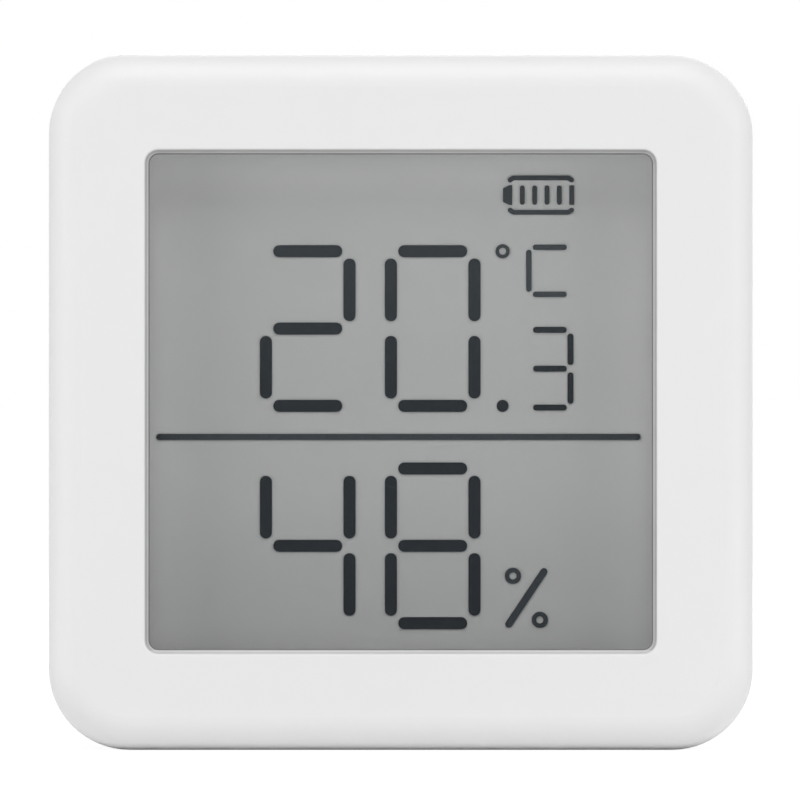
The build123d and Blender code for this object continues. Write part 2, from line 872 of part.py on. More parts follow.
def make_antenna():
    """Printed antenna: a copper line folded into fingers along the board's top edge."""
    half = antenna_trace_width / 2
    y_span = (y_board_back, y_board_back + antenna_trace_thickness)
    trace = None
    for number in range(antenna_fingers):
        x = antenna_x + (number - (antenna_fingers - 1) / 2) * antenna_finger_pitch
        finger = block((x - half, x + half), y_span, (antenna_low_z - half, antenna_high_z + half))
        trace = finger if trace is None else trace + finger
        if number < antenna_fingers - 1:
            z_link = antenna_high_z if number % 2 else antenna_low_z
            link_x = (x - half, x + antenna_finger_pitch + half)
            trace += block(link_x, y_span, (z_link - half, z_link + half))
    return trace


def chamber_walls(thickness, y_front, y_rear):
    """A three-sided wall round the sensor, open to the side wall with the vents."""
    x_outer = -body_width / 2 + side_wall + chamber_side_gap
    x_inner = x_outer + chamber_depth_x
    half_height = chamber_height / 2
    low = vent_middle_z - half_height
    high = vent_middle_z + half_height
    walls = block((x_outer, x_inner + thickness), (y_front, y_rear), (low - thickness, high + thickness))
    return walls - block((x_outer, x_inner), (y_front, y_rear), (low, high))


def make_sensor_gasket():
    """Foam strip that seals the sensor's chamber to the board."""
    return chamber_walls(gasket_width, y_board_back, y_board_back + gasket_thickness)


def pocket_block():
    """Walls of the leg's pocket, before it is hollowed."""
    half = pocket_width / 2 + pocket_wall
    wall_top = pocket_top_z + pocket_wall
    walls = block((-half, half), (y_pocket_floor - pocket_floor, y_back), (0, wall_top))
    trough_low = leg_axis_z - leg_heel_height - pocket_wall
    walls += block((-half, half), (y_trough_floor - pocket_floor, y_back), (trough_low, wall_top))
    reach = pocket_width / 2 + pin_cheek_length
    return walls + rod_x(pin_cheek_radius, -reach, reach, leg_axis_y, leg_axis_z)


def pocket_hollow():
    """Room for the leg: a pocket open at the bottom, a trough that stops the heel, and the pin's seats."""
    half = pocket_width / 2
    hollow = block((-half, half), (y_pocket_floor, y_back + overrun), (-overrun, pocket_top_z))
    trough_low = leg_axis_z - leg_heel_height
    hollow += block((-half, half), (y_trough_floor, y_back), (trough_low, pocket_top_z))
    seat = pocket_width / 2 + pin_seat_length
    hollow += rod_x(pin_radius + pin_seat_gap, -seat, seat, leg_axis_y, leg_axis_z)
    throat_z = (leg_axis_z - pin_throat / 2, leg_axis_z + pin_throat / 2)
    return hollow + block((-seat, seat), (leg_axis_y, y_back), throat_z)


def bay_shape(radius, half_length, y_rear):
    """Two round troughs side by side, open towards the back."""
    shape = block(
        (-half_length, half_length),
        (cell_y, y_rear),
        (bay_middle_z - cell_offset - radius, bay_middle_z + cell_offset + radius),
    )
    for side in (-1, 1):
        z = bay_middle_z + side * cell_offset
        shape += rod_x(radius, -half_length, half_length, cell_y, z)
    return shape


def contact_slots():
    """Recess for the bridge at the left end, and slots for the solder tails at the right."""
    half_contact = contact_size / 2 + contact_slot_gap
    inner = bay_half_length - contact_thickness - contact_slot_gap
    half_height = cell_offset + half_contact
    slots = block(
        (-bay_half_length, -inner),
        (cell_y - half_contact, y_back_wall),
        (bay_middle_z - half_height, bay_middle_z + half_height),
    )
    half_tail = contact_tail_width / 2 + contact_slot_gap
    y_front = cell_y - trough_radius - bay_wall - overrun
    for z in tail_places():
        tail_x = (inner, bay_half_length + contact_slot_gap)
        slots += block(tail_x, (y_front, cell_y), (z - half_tail, z + half_tail))
    return slots


def latch_room_block(grow, y_rear):
    """The pocket over the door's top edge where the latch sits, grown by grow on each closed side."""
    half = latch_width / 2 + latch_wall_gap + grow
    y_floor = y_back - latch_depth - latch_room - grow
    return block((-half, half), (y_floor, y_rear), (door_opening_high_z - grow, latch_pocket_high_z + grow))


def latch_ridge_block():
    """Ridge in the latch pocket that the latch's bump clicks behind."""
    half = latch_width / 2 + latch_wall_gap
    y_low = y_back - latch_bump_depth + latch_bump_radius + fit_gap
    z_span = (latch_pocket_high_z - latch_ridge, latch_pocket_high_z)
    return block((-half, half), (y_low, y_low + latch_ridge_depth), z_span)


def make_back_shell():
    """White back shell with the cell bay, the leg's pocket, the hinges' seats and the snap hooks."""
    envelope = case_block(0, y_wall_in, y_back)
    envelope = fillet(envelope.faces().sort_by(Axis.Y)[-1].edges(), back_edge_radius)
    shell = envelope & case_block(-overrun, y_seam, y_back)
    shell = chamfer(shell.faces().sort_by(Axis.Y)[0].edges(), seam_bevel)
    shell -= case_block(back_side_wall, y_seam, y_back_wall)

    tongue_in = rim_wall + slip_gap
    tongue = case_block(tongue_in, y_seam - tongue_length, y_seam + tongue_length)
    tongue -= case_block(tongue_in + tongue_wall, y_seam - tongue_length, y_seam + tongue_length)
    shell += tongue

    for x, side in hook_places():
        x_span = (x - hook_width / 2, x + hook_width / 2)
        arm_top = side_wall + hook_wall_gap
        tip = y_seam - hook_reach
        arm_z = wall_span(side, arm_top, arm_top + hook_thickness)
        shell += block(x_span, (tip, y_seam), arm_z)
        root_z = wall_span(side, tongue_in, arm_top + hook_thickness)
        shell += block(x_span, (y_seam, y_seam + tongue_length), root_z)
        bump_z = wall_span(side, arm_top - hook_bump_height, arm_top + hook_thickness / 2)
        shell += block(x_span, (tip, tip + hook_bump_length), bump_z)

    shell += bay_shape(trough_radius + bay_wall, bay_half_length + bay_wall, y_back_wall + back_wall / 2)
    shell += pocket_block() & envelope
    half_opening = door_opening_width / 2
    sill_y = (door_axis_y - door_barrel_radius - door_gap - sill_thickness, y_back_wall)
    sill_z = (door_opening_low_z - sill_thickness, bay_low_z - bay_wall / 2)
    shell += block((-half_opening - sill_thickness, half_opening + sill_thickness), sill_y, sill_z)
    cheek = stub_radius + stub_gap + cheek_margin
    for x in both_sides(half_opening):
        outer = x + (1 if x > 0 else -1) * (stub_length + cheek_margin)
        cheek_y = (door_axis_y - cheek, y_back_wall)
        cheek_z = (door_axis_z - cheek, door_axis_z + cheek)
        shell += block(sorted((x, outer)), cheek_y, cheek_z)
    shell += latch_room_block(latch_floor, y_back_wall) & envelope
    guide_radius = button_radius + button_gap + button_guide_wall
    y_guide = y_back_wall - button_guide_length
    shell += rod_y(guide_radius, y_guide, y_back_wall, switch_x, switch_z)
    shell += strap_block() & envelope
    y_rib = y_board_back + gasket_thickness
    shell += chamber_walls(chamber_wall, y_rib, y_back_wall)

    shell -= bay_shape(trough_radius, bay_half_length, y_back_wall)
    shell -= contact_slots()
    y_sill = door_axis_y - door_barrel_radius - door_gap
    opening_x = (-half_opening, half_opening)
    shell -= block(opening_x, (y_sill, y_back), (door_opening_low_z, bay_low_z + overrun))
    shell -= block(opening_x, (y_back_wall, y_back), (bay_low_z, door_opening_high_z))
    seat = half_opening + stub_length + stub_gap
    shell -= rod_x(stub_radius + stub_gap, -seat, seat, door_axis_y, door_axis_z)
    shell -= latch_room_block(0, y_back)
    shell += latch_ridge_block()
    shell -= pocket_hollow()
    shell -= rod_y(button_radius + button_gap, y_guide, y_back, switch_x, switch_z)
    shell -= button_dish()
    shell -= strap_tunnel()
    return shell


def button_dish():
    """Shallow dish round the button for the fingertip."""
    dish = Cone(button_radius + button_gap, button_dish_radius, button_dish_depth)
    dish = Rot(X=-90) * dish
    return Pos(switch_x, y_back - button_dish_depth / 2, switch_z) * dish


def strap_block():
    """Solid corner round the strap tunnel."""
    half = strap_hole_width / 2 + strap_block_wall
    y_front = y_back_wall - strap_hole_height - strap_block_wall
    z_span = (strap_low_z - strap_block_wall, body_height)
    return block((strap_x - half, strap_x + half), (y_front, y_back), z_span)


def strap_tunnel():
    """Bent tunnel from the back to the top, which leaves a bar for a strap."""
    half = strap_hole_width / 2
    x_span = (strap_x - half, strap_x + half)
    y_low = y_back_wall - strap_hole_height
    tunnel = block(x_span, (y_low, y_back), (strap_low_z, strap_high_z))
    return tunnel + block(x_span, (y_low, y_back_wall), (strap_low_z, body_height))


def latch_outline():
    """Side view of the latch: in from the door's top edge, round, and out again to the fingertip."""
    z_tip = latch_high_z - latch_arm_thickness
    z_far = z_tip - latch_arm_space
    z_arm = z_far - latch_arm_thickness
    bend = latch_arm_thickness + latch_arm_space / 2
    y_bend = y_back - latch_depth + bend
    z_bend = z_far + latch_arm_space / 2
    shape = Pos(y_bend, z_bend) * Circle(bend)
    shape -= Pos(y_bend, z_bend) * Circle(latch_arm_space / 2)
    shape -= Pos(y_bend + bend / 2, z_bend) * Rectangle(bend, 2 * bend)
    arm_length = y_back - y_bend
    inner_arm = Rectangle(arm_length, latch_arm_thickness, align=(Align.MIN, Align.MIN))
    outer_arm = Rectangle(
        arm_length - latch_tip_recess, latch_arm_thickness, align=(Align.MIN, Align.MIN)
    )
    shape += Pos(y_bend, z_arm) * inner_arm
    shape += Pos(y_bend, z_tip) * outer_arm
    bump_z = latch_high_z + latch_bump_rise - latch_bump_radius
    shape += Pos(y_back - latch_bump_depth, bump_z) * Circle(latch_bump_radius)
    return shape


def make_door():
    """Door over the cells, with a round lower edge, two hinge stubs and a springy latch."""
    half = door_width / 2
    door = block((-half, half), (y_door_in, y_back), (door_axis_z, door_top_z))
    door = fillet(door.edges().filter_by(Axis.Y).sort_by(Axis.Z)[-2:], 2 * door_edge_radius)
    door += rod_x(door_barrel_radius, -half, half, door_axis_y, door_axis_z)
    reach = half + door_gap + stub_length
    door += rod_x(stub_radius, -reach, reach, door_axis_y, door_axis_z)
    latch_half = latch_width / 2
    neck_top = door_opening_high_z + latch_wall_gap + latch_arm_thickness
    door += block((-latch_half, latch_half), (y_door_in, y_back), (door_axis_z, neck_top))
    door += extrude(side_plane(-latch_half) * latch_outline(), latch_width)
    return door


def make_door_pad():
    """Foam pad inside the door that keeps the cells from rattling."""
    return slab(
        pad_width, pad_height, pad_corner_radius, y_door_in - pad_thickness, y_door_in, 0, bay_middle_z
    )


def leg_outline():
    """Side view of the leg round its hinge: plate, barrel and heel."""
    y_in = y_leg_in - leg_axis_y
    foot = leg_foot_height - leg_axis_z
    shape = Polygon(
        (y_in, foot),
        (leg_barrel_radius, foot),
        (leg_barrel_radius, leg_heel_height),
        (-leg_heel_depth, leg_heel_height),
        (-leg_heel_depth, 0),
        (y_in, 0),
        align=None,
    )
    heel_corner = shape.vertices().sort_by(Axis.Y)[-2:].sort_by(Axis.X)[-1]
    shape = fillet(heel_corner, leg_heel_round)
    foot_corner = shape.vertices().sort_by(Axis.Y)[:2].sort_by(Axis.X)[-1]
    shape = fillet(foot_corner, leg_foot_radius)
    shape += Circle(leg_barrel_radius)
    return shape - Circle(pin_radius + pin_bore_gap)


def make_leg():
    """Fold-out leg with a pin bore, grip grooves at the foot and two magnet pockets."""
    half = leg_width / 2
    outline = Pos(leg_axis_y, leg_axis_z) * leg_outline()
    leg = extrude(side_plane(-half) * outline, leg_width)
    pocket_depth = magnet_thickness + magnet_gap
    for x in both_sides(magnet_x):
        leg -= rod_y(magnet_radius + magnet_gap, y_leg_in, y_leg_in + pocket_depth, x, magnet_z)
    for number in range(grip_count):
        z = leg_foot_height + grip_above_foot + number * grip_pitch
        groove = rod_x(grip_depth, -grip_width / 2, grip_width / 2, y_back, z)
        leg -= groove
    return leg


def make_leg_pin():
    """Steel hinge pin of the leg."""
    half = pocket_width / 2 + pin_seat_length
    return rod_x(pin_radius, -half, half, leg_axis_y, leg_axis_z)


def make_leg_magnets():
    """Two disc magnets glued into the leg's inner face."""
    discs = [
        rod_y(magnet_radius, y_leg_in, y_leg_in + magnet_thickness, x, magnet_z)
        for x in both_sides(magnet_x)
    ]
    return Compound(discs)


def make_button():
    """Unit button: a round cap with a retaining flange and a long stem."""
    y_cap = y_back - button_recess
    y_flange = y_back_wall - button_guide_length - button_guide_to_flange
    cap = rod_y(button_radius, y_flange, y_cap, switch_x, switch_z)
    cap = fillet(cap.faces().sort_by(Axis.Y)[-1].edges(), button_edge_radius)
    y_flange_front = y_flange - button_flange_thickness
    cap += rod_y(button_flange_radius, y_flange_front, y_flange, switch_x, switch_z)
    return cap + rod_y(button_stem_radius, y_button_tip, y_flange, switch_x, switch_z)


def cell_part(shape, side):
    """Places a piece drawn along X, nub to the right, in the upper (1) or lower (-1) trough."""
    turned = shape if side > 0 else Rot(Z=180) * shape
    return Pos(side * cell_shift, cell_y, bay_middle_z + side * cell_offset) * turned


def make_cell_can(side):
    """Steel can with its nub and base disc."""
    half = cell_length / 2
    can_radius = cell_radius - cell_jacket_thickness
    can = rod_x(can_radius, -half, half - cell_nub_height, 0, 0)
    can = fillet(can.edges().filter_by(GeomType.CIRCLE), cell_edge_radius)
    can += rod_x(cell_nub_radius, -half, half, 0, 0)
    inner = can_radius - cell_can_wall
    can -= rod_x(inner, -half + cell_can_wall, half - cell_nub_height - cell_can_wall, 0, 0)
    return cell_part(can, side)


def make_cell_core(side):
    """Paste filling of the can, which carries most of the cell's weight."""
    half = cell_length / 2
    inner = cell_radius - cell_jacket_thickness - cell_can_wall
    core = rod_x(inner, -half + cell_can_wall, half - cell_nub_height - cell_can_wall, 0, 0)
    return cell_part(core, side)


def make_cell_jacket(side):
    """Printed plastic sleeve shrunk on the can."""
    half = cell_length / 2
    can_radius = cell_radius - cell_jacket_thickness
    x_low = -half + cell_jacket_lip
    x_high = half - cell_nub_height - cell_jacket_lip
    sleeve = rod_x(cell_radius, x_low, x_high, 0, 0) - rod_x(can_radius, x_low, x_high, 0, 0)
    return cell_part(sleeve, side)


def dimple(x_plate, direction, z):
    """Pressed boss on a contact that meets a cell's nub."""
    outer = Cone(dimple_base_radius, dimple_tip_radius, dimple_height)
    inner = Cone(
        dimple_base_radius - contact_thickness,
        dimple_tip_radius - contact_thickness,
        dimple_height,
    )
    turn = Rot(Y=90 * direction)
    place = Pos(x_plate + direction * dimple_height / 2, cell_y, z)
    sunk = Pos(x_plate + direction * (dimple_height / 2 - contact_thickness), cell_y, z)
    return place * turn * outer, sunk * turn * inner


def contact_sheet(x_outer, direction, z_low, z_high):
    """Flat sheet of a contact, lying against the end wall of the bay."""
    x_span = sorted((x_outer, x_outer + direction * contact_thickness))
    return block(x_span, (cell_y - contact_size / 2, cell_y + contact_size / 2), (z_low, z_high))


def contact_tail(z):
    """Solder tail from a right-hand contact into the board."""
    x_span = (bay_half_length - contact_thickness, bay_half_length)
    y_span = (y_board - contact_tail_past_board, cell_y)
    return block(x_span, y_span, (z - contact_tail_width / 2, z + contact_tail_width / 2))


def make_bridge_contact():
    """Sheet at the left end that joins the two cells in series."""
    half = cell_offset + contact_size / 2
    sheet = contact_sheet(-bay_half_length, 1, bay_middle_z - half, bay_middle_z + half)
    z = bay_middle_z - cell_offset
    boss, hollow = dimple(-bay_half_length + contact_thickness, 1, z)
    return sheet + boss - hollow


def make_plus_contact():
    """Right-hand contact of the upper cell."""
    z = bay_middle_z + cell_offset
    sheet = contact_sheet(bay_half_length, -1, z - contact_size / 2, z + contact_size / 2)
    boss, hollow = dimple(bay_half_length - contact_thickness, -1, z)
    return sheet + contact_tail(z) + boss - hollow


def make_minus_contact():
    """Right-hand contact of the lower cell, which carries a spring."""
    z = bay_middle_z - cell_offset
    sheet = contact_sheet(bay_half_length, -1, z - contact_size / 2, z + contact_size / 2)
    return sheet + contact_tail(z)


def spring_point(turn):
    """Centre line of the conical spring after turn turns, standing along X, and its direction there."""
    share = turn / spring_turns
    run = spring_height - 2 * (spring_wire_radius + spring_touch_gap)
    radius = spring_wide_radius + (spring_narrow_radius - spring_wide_radius) * share
    shrink = (spring_narrow_radius - spring_wide_radius) / (2 * pi * spring_turns)
    angle = 2 * pi * turn
    point = Vector(run * share, radius * cos(angle), radius * sin(angle))
    direction = Vector(
        run / (2 * pi * spring_turns),
        shrink * cos(angle) - radius * sin(angle),
        shrink * sin(angle) + radius * cos(angle),
    )
    return point, direction.normalized()


def biarc(start, start_direction, end, end_direction):
    """Two arcs that leave start and reach end in the given directions."""
    chord = end - start
    spread = start_direction + end_direction
    a = spread.dot(spread) - 4
    b = 2 * chord.dot(spread) * -1
    c = chord.dot(chord)
    reach = (-b - (b * b - 4 * a * c) ** 0.5) / (2 * a)
    joint = (start + start_direction * reach + end - end_direction * reach) / 2
    first = TangentArc(start, joint, tangent=start_direction)
    return first, TangentArc(joint, end, tangent=first % 1)


def make_spring(side):
    """Conical spring with short straight ends: the bridge's (1) or the minus contact's (-1)."""
    arcs = []
    quarters = 4 * spring_turns
    for number in range(quarters):
        start = spring_point(number / 4)
        end = spring_point((number + 1) / 4)
        arcs += biarc(*start, *end)
    tail = 2 * spring_wire_radius
    start, direction = spring_point(0)
    end, end_direction = spring_point(spring_turns)
    first_point = start - direction * tail
    runs = [Line(first_point, start), *arcs, Line(end, end + end_direction * tail)]
    section = Plane(origin=first_point, z_dir=direction) * Circle(spring_wire_radius)
    wire = sweep(section, path=Wire(runs))
    low_x = -bay_half_length + contact_thickness + spring_wire_radius + spring_touch_gap
    turned = wire if side > 0 else Rot(Z=180) * wire
    return Pos(side * low_x, cell_y, bay_middle_z + side * cell_offset) * turned


def least_spring_gap():
    """Least free space between one turn of the spring and the next, measured on points."""
    steps = 36
    points = [spring_point(n / steps)[0] for n in range(steps * spring_turns + 1)]
    apart = [
        (points[i] - points[j]).length
        for i in range(len(points))
        for j in range(i + steps // 2, len(points))
    ]
    return min(apart) - 2 * spring_wire_radius


nodes = {
    "front_shell": make_front_shell(),
    "window_tape": make_window_tape(),
    "display_window": make_window(),
    "front_polariser": make_film(y_film, y_pane),
    "front_pane": make_pane(front_pane_height, y_pane),
    "edge_seal": make_edge_seal(),
    "temperature_digits": make_temperature_digits(),
    "humidity_digits": make_humidity_digits(),
    "unit_signs": make_unit_signs(),
    "divider_line": make_divider_line(),
    "cell_symbol": make_cell_symbol(),
    "rear_pane": make_pane(rear_pane_height, y_liquid_back),
    "rear_reflector": make_film(y_rear_pane_back, y_film_back),
    "display_frame": make_display_frame(),
    "upper_contact_strip": make_contact_strip(1),
    "lower_contact_strip": make_contact_strip(-1),
    "main_board": make_board(),
    "board_screws": make_board_screws(),
    "radio_chip": make_radio_chip(),
    "crystals": make_crystals(),
    "driver_chip": make_driver_chip(),
    "driver_leads": make_driver_leads(),
    "tank_capacitor": make_tank_capacitor(),
    "chip_parts": make_chip_parts(),
    "antenna_trace": make_antenna(),
    "humidity_sensor": make_humidity_sensor(),
    "sensor_gasket": make_sensor_gasket(),
    "switch_body": make_switch_body(),
    "switch_plunger": make_switch_plunger(),
    "unit_button": make_button(),
    "back_shell": make_back_shell(),
    "bridge_contact": make_bridge_contact(),
    "plus_contact": make_plus_contact(),
    "minus_contact": make_minus_contact(),
    "bridge_spring": make_spring(1),
    "minus_spring": make_spring(-1),
    "cell_door": make_door(),
    "door_pad": make_door_pad(),
    "stand_leg": make_leg(),
    "leg_pin": make_leg_pin(),
    "leg_magnets": make_leg_magnets(),
}
for name, side in (("upper", 1), ("lower", -1)):
    nodes[f"{name}_cell_can"] = make_cell_can(side)
    nodes[f"{name}_cell_core"] = make_cell_core(side)
    nodes[f"{name}_cell_jacket"] = make_cell_jacket(side)

os.makedirs("parts", exist_ok=True)
for name, shape in nodes.items():
    export_step(shape, f"parts/{name}.step")
print(f"{len(nodes)} nodes, least gap between spring turns {least_spring_gap():.2f} mm")
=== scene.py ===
from math import pi, radians

import bmesh
import bpy
import numpy as np
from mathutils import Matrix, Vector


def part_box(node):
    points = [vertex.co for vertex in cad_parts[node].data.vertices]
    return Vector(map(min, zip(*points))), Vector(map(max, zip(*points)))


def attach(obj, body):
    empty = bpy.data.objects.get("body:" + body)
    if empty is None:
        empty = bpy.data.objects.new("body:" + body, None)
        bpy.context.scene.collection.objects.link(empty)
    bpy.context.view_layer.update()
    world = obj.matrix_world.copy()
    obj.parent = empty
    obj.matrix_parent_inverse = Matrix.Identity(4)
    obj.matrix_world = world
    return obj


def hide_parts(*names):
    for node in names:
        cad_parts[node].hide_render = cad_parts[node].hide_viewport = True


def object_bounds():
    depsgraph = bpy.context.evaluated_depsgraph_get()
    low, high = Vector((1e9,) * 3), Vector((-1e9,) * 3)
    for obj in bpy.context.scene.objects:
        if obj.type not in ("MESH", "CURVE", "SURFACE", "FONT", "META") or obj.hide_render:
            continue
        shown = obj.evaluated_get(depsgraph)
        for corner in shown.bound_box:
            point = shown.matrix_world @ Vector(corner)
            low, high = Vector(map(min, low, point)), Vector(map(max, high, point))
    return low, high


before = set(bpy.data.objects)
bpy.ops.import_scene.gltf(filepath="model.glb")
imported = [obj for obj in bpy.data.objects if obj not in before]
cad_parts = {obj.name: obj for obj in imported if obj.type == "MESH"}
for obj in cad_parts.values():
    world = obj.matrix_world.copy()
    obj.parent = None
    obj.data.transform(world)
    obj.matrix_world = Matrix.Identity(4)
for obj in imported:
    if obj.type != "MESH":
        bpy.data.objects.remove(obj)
cad_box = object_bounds()
MM = 0.001

# Front shell
# One white ABS moulding: the face with its display opening, the side walls and the air slots.
# It is spark-grained in the mould, so the surface is matt with a very fine even grain.


def add_node(tree, kind, inputs=None, **settings):
    """One shader node: settings are its own options, inputs are numbers or the outputs of other nodes."""
    made = tree.nodes.new(kind)
    for key, value in settings.items():
        setattr(made, key, value)
    for key, value in (inputs or {}).items():
        if isinstance(value, bpy.types.NodeSocket):
            tree.links.new(value, made.inputs[key])
        else:
            made.inputs[key].default_value = value
    return made


def maths(tree, operation, *values):
    """Result of one sum, product or comparison of the given values."""
    inputs = dict(enumerate(values))
    return add_node(tree, "ShaderNodeMath", inputs, operation=operation).outputs[0]


def place_of(tree):
    """Object coordinates in millimetres: a vector output."""
    place = add_node(tree, "ShaderNodeTexCoord").outputs["Object"]
    scaled = add_node(tree, "ShaderNodeVectorMath", {0: place, "Scale": 1 / MM}, operation="SCALE")
    return scaled.outputs[0]


def noise(tree, size):
    """Even noise round 0.5 in patches of about size millimetres."""
    inputs = {"Vector": place_of(tree), "Scale": 1 / size, "Detail": 2.0}
    return add_node(tree, "ShaderNodeTexNoise", inputs).outputs["Fac"]


def between(tree, share, low, high):
    """Number that runs from low to high as share runs from 0 to 1."""
    return add_node(tree, "ShaderNodeMapRange", {0: share, 3: low, 4: high}).outputs[0]


def mixed(tree, share, first, second):
    """Colour between first and second by share. Either may be plain or an output."""
    made = add_node(tree, "ShaderNodeMix", {0: share}, data_type="RGBA")
    for place, colour in ((6, first), (7, second)):
        if isinstance(colour, bpy.types.NodeSocket):
            tree.links.new(colour, made.inputs[place])
        else:
            made.inputs[place].default_value = (*colour, 1)
    return made.outputs[2]


def finish(name, colour, roughness, spread=0.02, patch=1.5, grain=0.0, grain_size=0.12, **sockets):
    """Material in a plain colour, which drifts by spread over patches, or in one that colour(tree) makes.
    Its roughness drifts by a tenth. grain is the depth of a fine bump in millimetres."""
    made = bpy.data.materials.new(name)
    made.use_nodes = True
    tree = made.node_tree
    shader = tree.nodes["Principled BSDF"]
    uneven = noise(tree, patch)
    if isinstance(colour, tuple):
        dark, pale = ([min(c * (1 + side * spread), 1) for c in colour] for side in (-1, 1))
        tree.links.new(mixed(tree, uneven, dark, pale), shader.inputs["Base Color"])
    else:
        tree.links.new(colour(tree), shader.inputs["Base Color"])
    rough = between(tree, uneven, roughness * 0.9, min(roughness * 1.1, 1))
    tree.links.new(rough, shader.inputs["Roughness"])
    if grain:
        inputs = {"Height": noise(tree, grain_size), "Distance": grain * MM, "Strength": 1.0}
        bump = add_node(tree, "ShaderNodeBump", inputs)
        tree.links.new(bump.outputs[0], shader.inputs["Normal"])
    for key, value in sockets.items():
        shader.inputs[key.replace("_", " ")].default_value = value
    return made


def dress(material, *names):
    """Gives CAD nodes their finish."""
    for name in names:
        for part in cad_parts[name].material_slots:
            part.material = material


def grey(level):
    """Neutral colour."""
    return (level, level, level)


white = grey(0.80)
opening_middle, opening_half = 27.2, (20.0, 19.7)


def opening_with_painted_shade(tree):
    """White with painted shade on the steep walls of the opening: the walls are painted greyer, and the lower
    wall, which catches more light, is left paler.
    A painted highlight line is left low on the walls, and a painted shadow line at their foot where they meet
    the tape, but not at the bottom and hardly at the left. The walls lie behind the face, within the
    opening's rectangle."""
    wall_room, rim_room = 0.3, 0.02
    place = add_node(tree, "ShaderNodeSeparateXYZ", {0: place_of(tree)}).outputs
    rise = maths(tree, "SUBTRACT", place[2], opening_middle)
    spans = []
    for offset, half in ((place[0], opening_half[0]), (rise, opening_half[1])):
        spans.append(maths(tree, "LESS_THAN", maths(tree, "ABSOLUTE", offset), half + rim_room))
    inside = maths(tree, "MULTIPLY", *spans)
    left_wall = maths(tree, "LESS_THAN", place[0], wall_room - opening_half[0])
    lower_wall = maths(tree, "LESS_THAN", rise, wall_room - opening_half[1])
    # Painted shade on the walls, paler on the lower wall, then a painted highlight line and a painted shadow
    # line at the foot.
    painted_wall_shade = mixed(tree, lower_wall, grey(0.47), grey(0.66))
    painted_highlight_line = mixed(tree, lower_wall, grey(0.64), white)
    painted_shadow_foot = mixed(tree, left_wall, grey(0.16), grey(0.36))
    painted_shadow_foot = mixed(tree, lower_wall, painted_shadow_foot, grey(0.66))
    depths = ((-11.95, -11.7, painted_wall_shade), (-11.3, -11.1, painted_highlight_line), (-10.85, -10.65, painted_shadow_foot))
    tone = white
    for start, end, next_tone in depths:
        depth = add_node(tree, "ShaderNodeMapRange", {0: place[1], 1: start, 2: end}).outputs[0]
        tone = mixed(tree, maths(tree, "MULTIPLY", inside, depth), tone, next_tone)
    return tone


# The shell's white carries painted shade, a painted highlight line and a painted shadow line on the opening's
# walls.
shell_white = finish("shell_white", opening_with_painted_shade, roughness=0.5, patch=6.0, grain=0.002, grain_size=0.14)
dress(shell_white, "front_shell")

# Window tape
# Black double-sided tape, die cut as a frame, that holds the window to the inside of the face.
tape_black = finish("tape_black", (0.03, 0.031, 0.032), roughness=0.6, spread=0.1, patch=0.3, grain=0.004)
dress(tape_black, "window_tape")

# Window
# Clear acrylic plate behind the opening, polished on both sides and held by the tape.


def clear_sheet(name, tint, mirror, roughness):
    """Thin clear sheet: it lets light straight through and mirrors more the flatter it is seen."""
    made = bpy.data.materials.new(name)
    made.use_nodes = True
    tree = made.node_tree
    tree.nodes.remove(tree.nodes["Principled BSDF"])
    grazing_mirror, steepness, haze_patch = 0.9, 5.0, 8.0
    facing = add_node(tree, "ShaderNodeLayerWeight", {"Blend": 0.5}).outputs["Facing"]
    rise = maths(tree, "MULTIPLY", maths(tree, "POWER", facing, steepness), grazing_mirror)
    share = maths(tree, "ADD", rise, mirror)
    haze = between(tree, noise(tree, haze_patch), roughness * 0.8, roughness * 1.2)
    through = add_node(tree, "ShaderNodeBsdfTransparent", {"Color": (*tint, 1)})
    gloss = add_node(tree, "ShaderNodeBsdfGlossy", {"Roughness": haze})
    shader = add_node(tree, "ShaderNodeMixShader", {0: share, 1: through.outputs[0], 2: gloss.outputs[0]})
    tree.links.new(shader.outputs[0], tree.nodes["Material Output"].inputs[0])
    return made


def lets_light_past(*names):
    """Clear pieces send lamp light and bounced light straight on, so what lies behind them stays lit."""
    for name in names:
        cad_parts[name].visible_shadow = False
        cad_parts[name].visible_diffuse = False


acrylic = finish(
    "clear_acrylic", grey(1.0), roughness=0.02, spread=0.0, patch=8.0, Transmission_Weight=1.0, IOR=1.49
)
dress(acrylic, "display_window")
lets_light_past("display_window")

# Display cell
# Two glass panes glued round the edge with liquid between them, a film on each outer side.
# The liquid shows dark where the segments are lit, over the grey of the reflecting film.
polarising_film = clear_sheet("polarising_film", (0.955, 0.96, 0.96), mirror=0.01, roughness=0.08)
dress(polarising_film, "front_polariser")
display_glass = clear_sheet("display_glass", (0.98, 0.985, 0.985), mirror=0.01, roughness=0.02)
dress(display_glass, "front_pane", "rear_pane")
edge_glue = finish("edge_glue", (0.52, 0.5, 0.42), roughness=0.5, spread=0.05, patch=0.8)
dress(edge_glue, "edge_seal")
lets_light_past("front_polariser", "front_pane", "rear_pane")


def painted_light_by_height(stops, speckle, drift=lambda tree, place: 1.0):
    """Colour painted by height, as painted light that grows towards the top, with fine speckle: stops are
    pairs of a height in millimetres and a colour. drift gives one more factor from the place."""
    low, high = stops[0][0], stops[-1][0]

    def colour(tree):
        parts = add_node(tree, "ShaderNodeSeparateXYZ", {0: place_of(tree)})
        share = add_node(tree, "ShaderNodeMapRange", {0: parts.outputs[2], 1: low, 2: high}).outputs[0]
        ramp = add_node(tree, "ShaderNodeValToRGB", {0: share})
        ramp.color_ramp.interpolation = "EASE"
        points = ramp.color_ramp.elements
        while len(points) < len(stops):
            points.new(0.5)
        for point, (height, tone) in zip(points, stops):
            point.position = (height - low) / (high - low)
            point.color = (*tone, 1)
        speckle_size = 0.09
        fine = between(tree, noise(tree, speckle_size), 1 - speckle, 1 + speckle)
        gain = maths(tree, "MULTIPLY", fine, drift(tree, parts.outputs))
        scale = add_node(tree, "ShaderNodeVectorMath", {0: ramp.outputs[0], "Scale": gain}, operation="SCALE")
        return scale.outputs[0]

    return colour
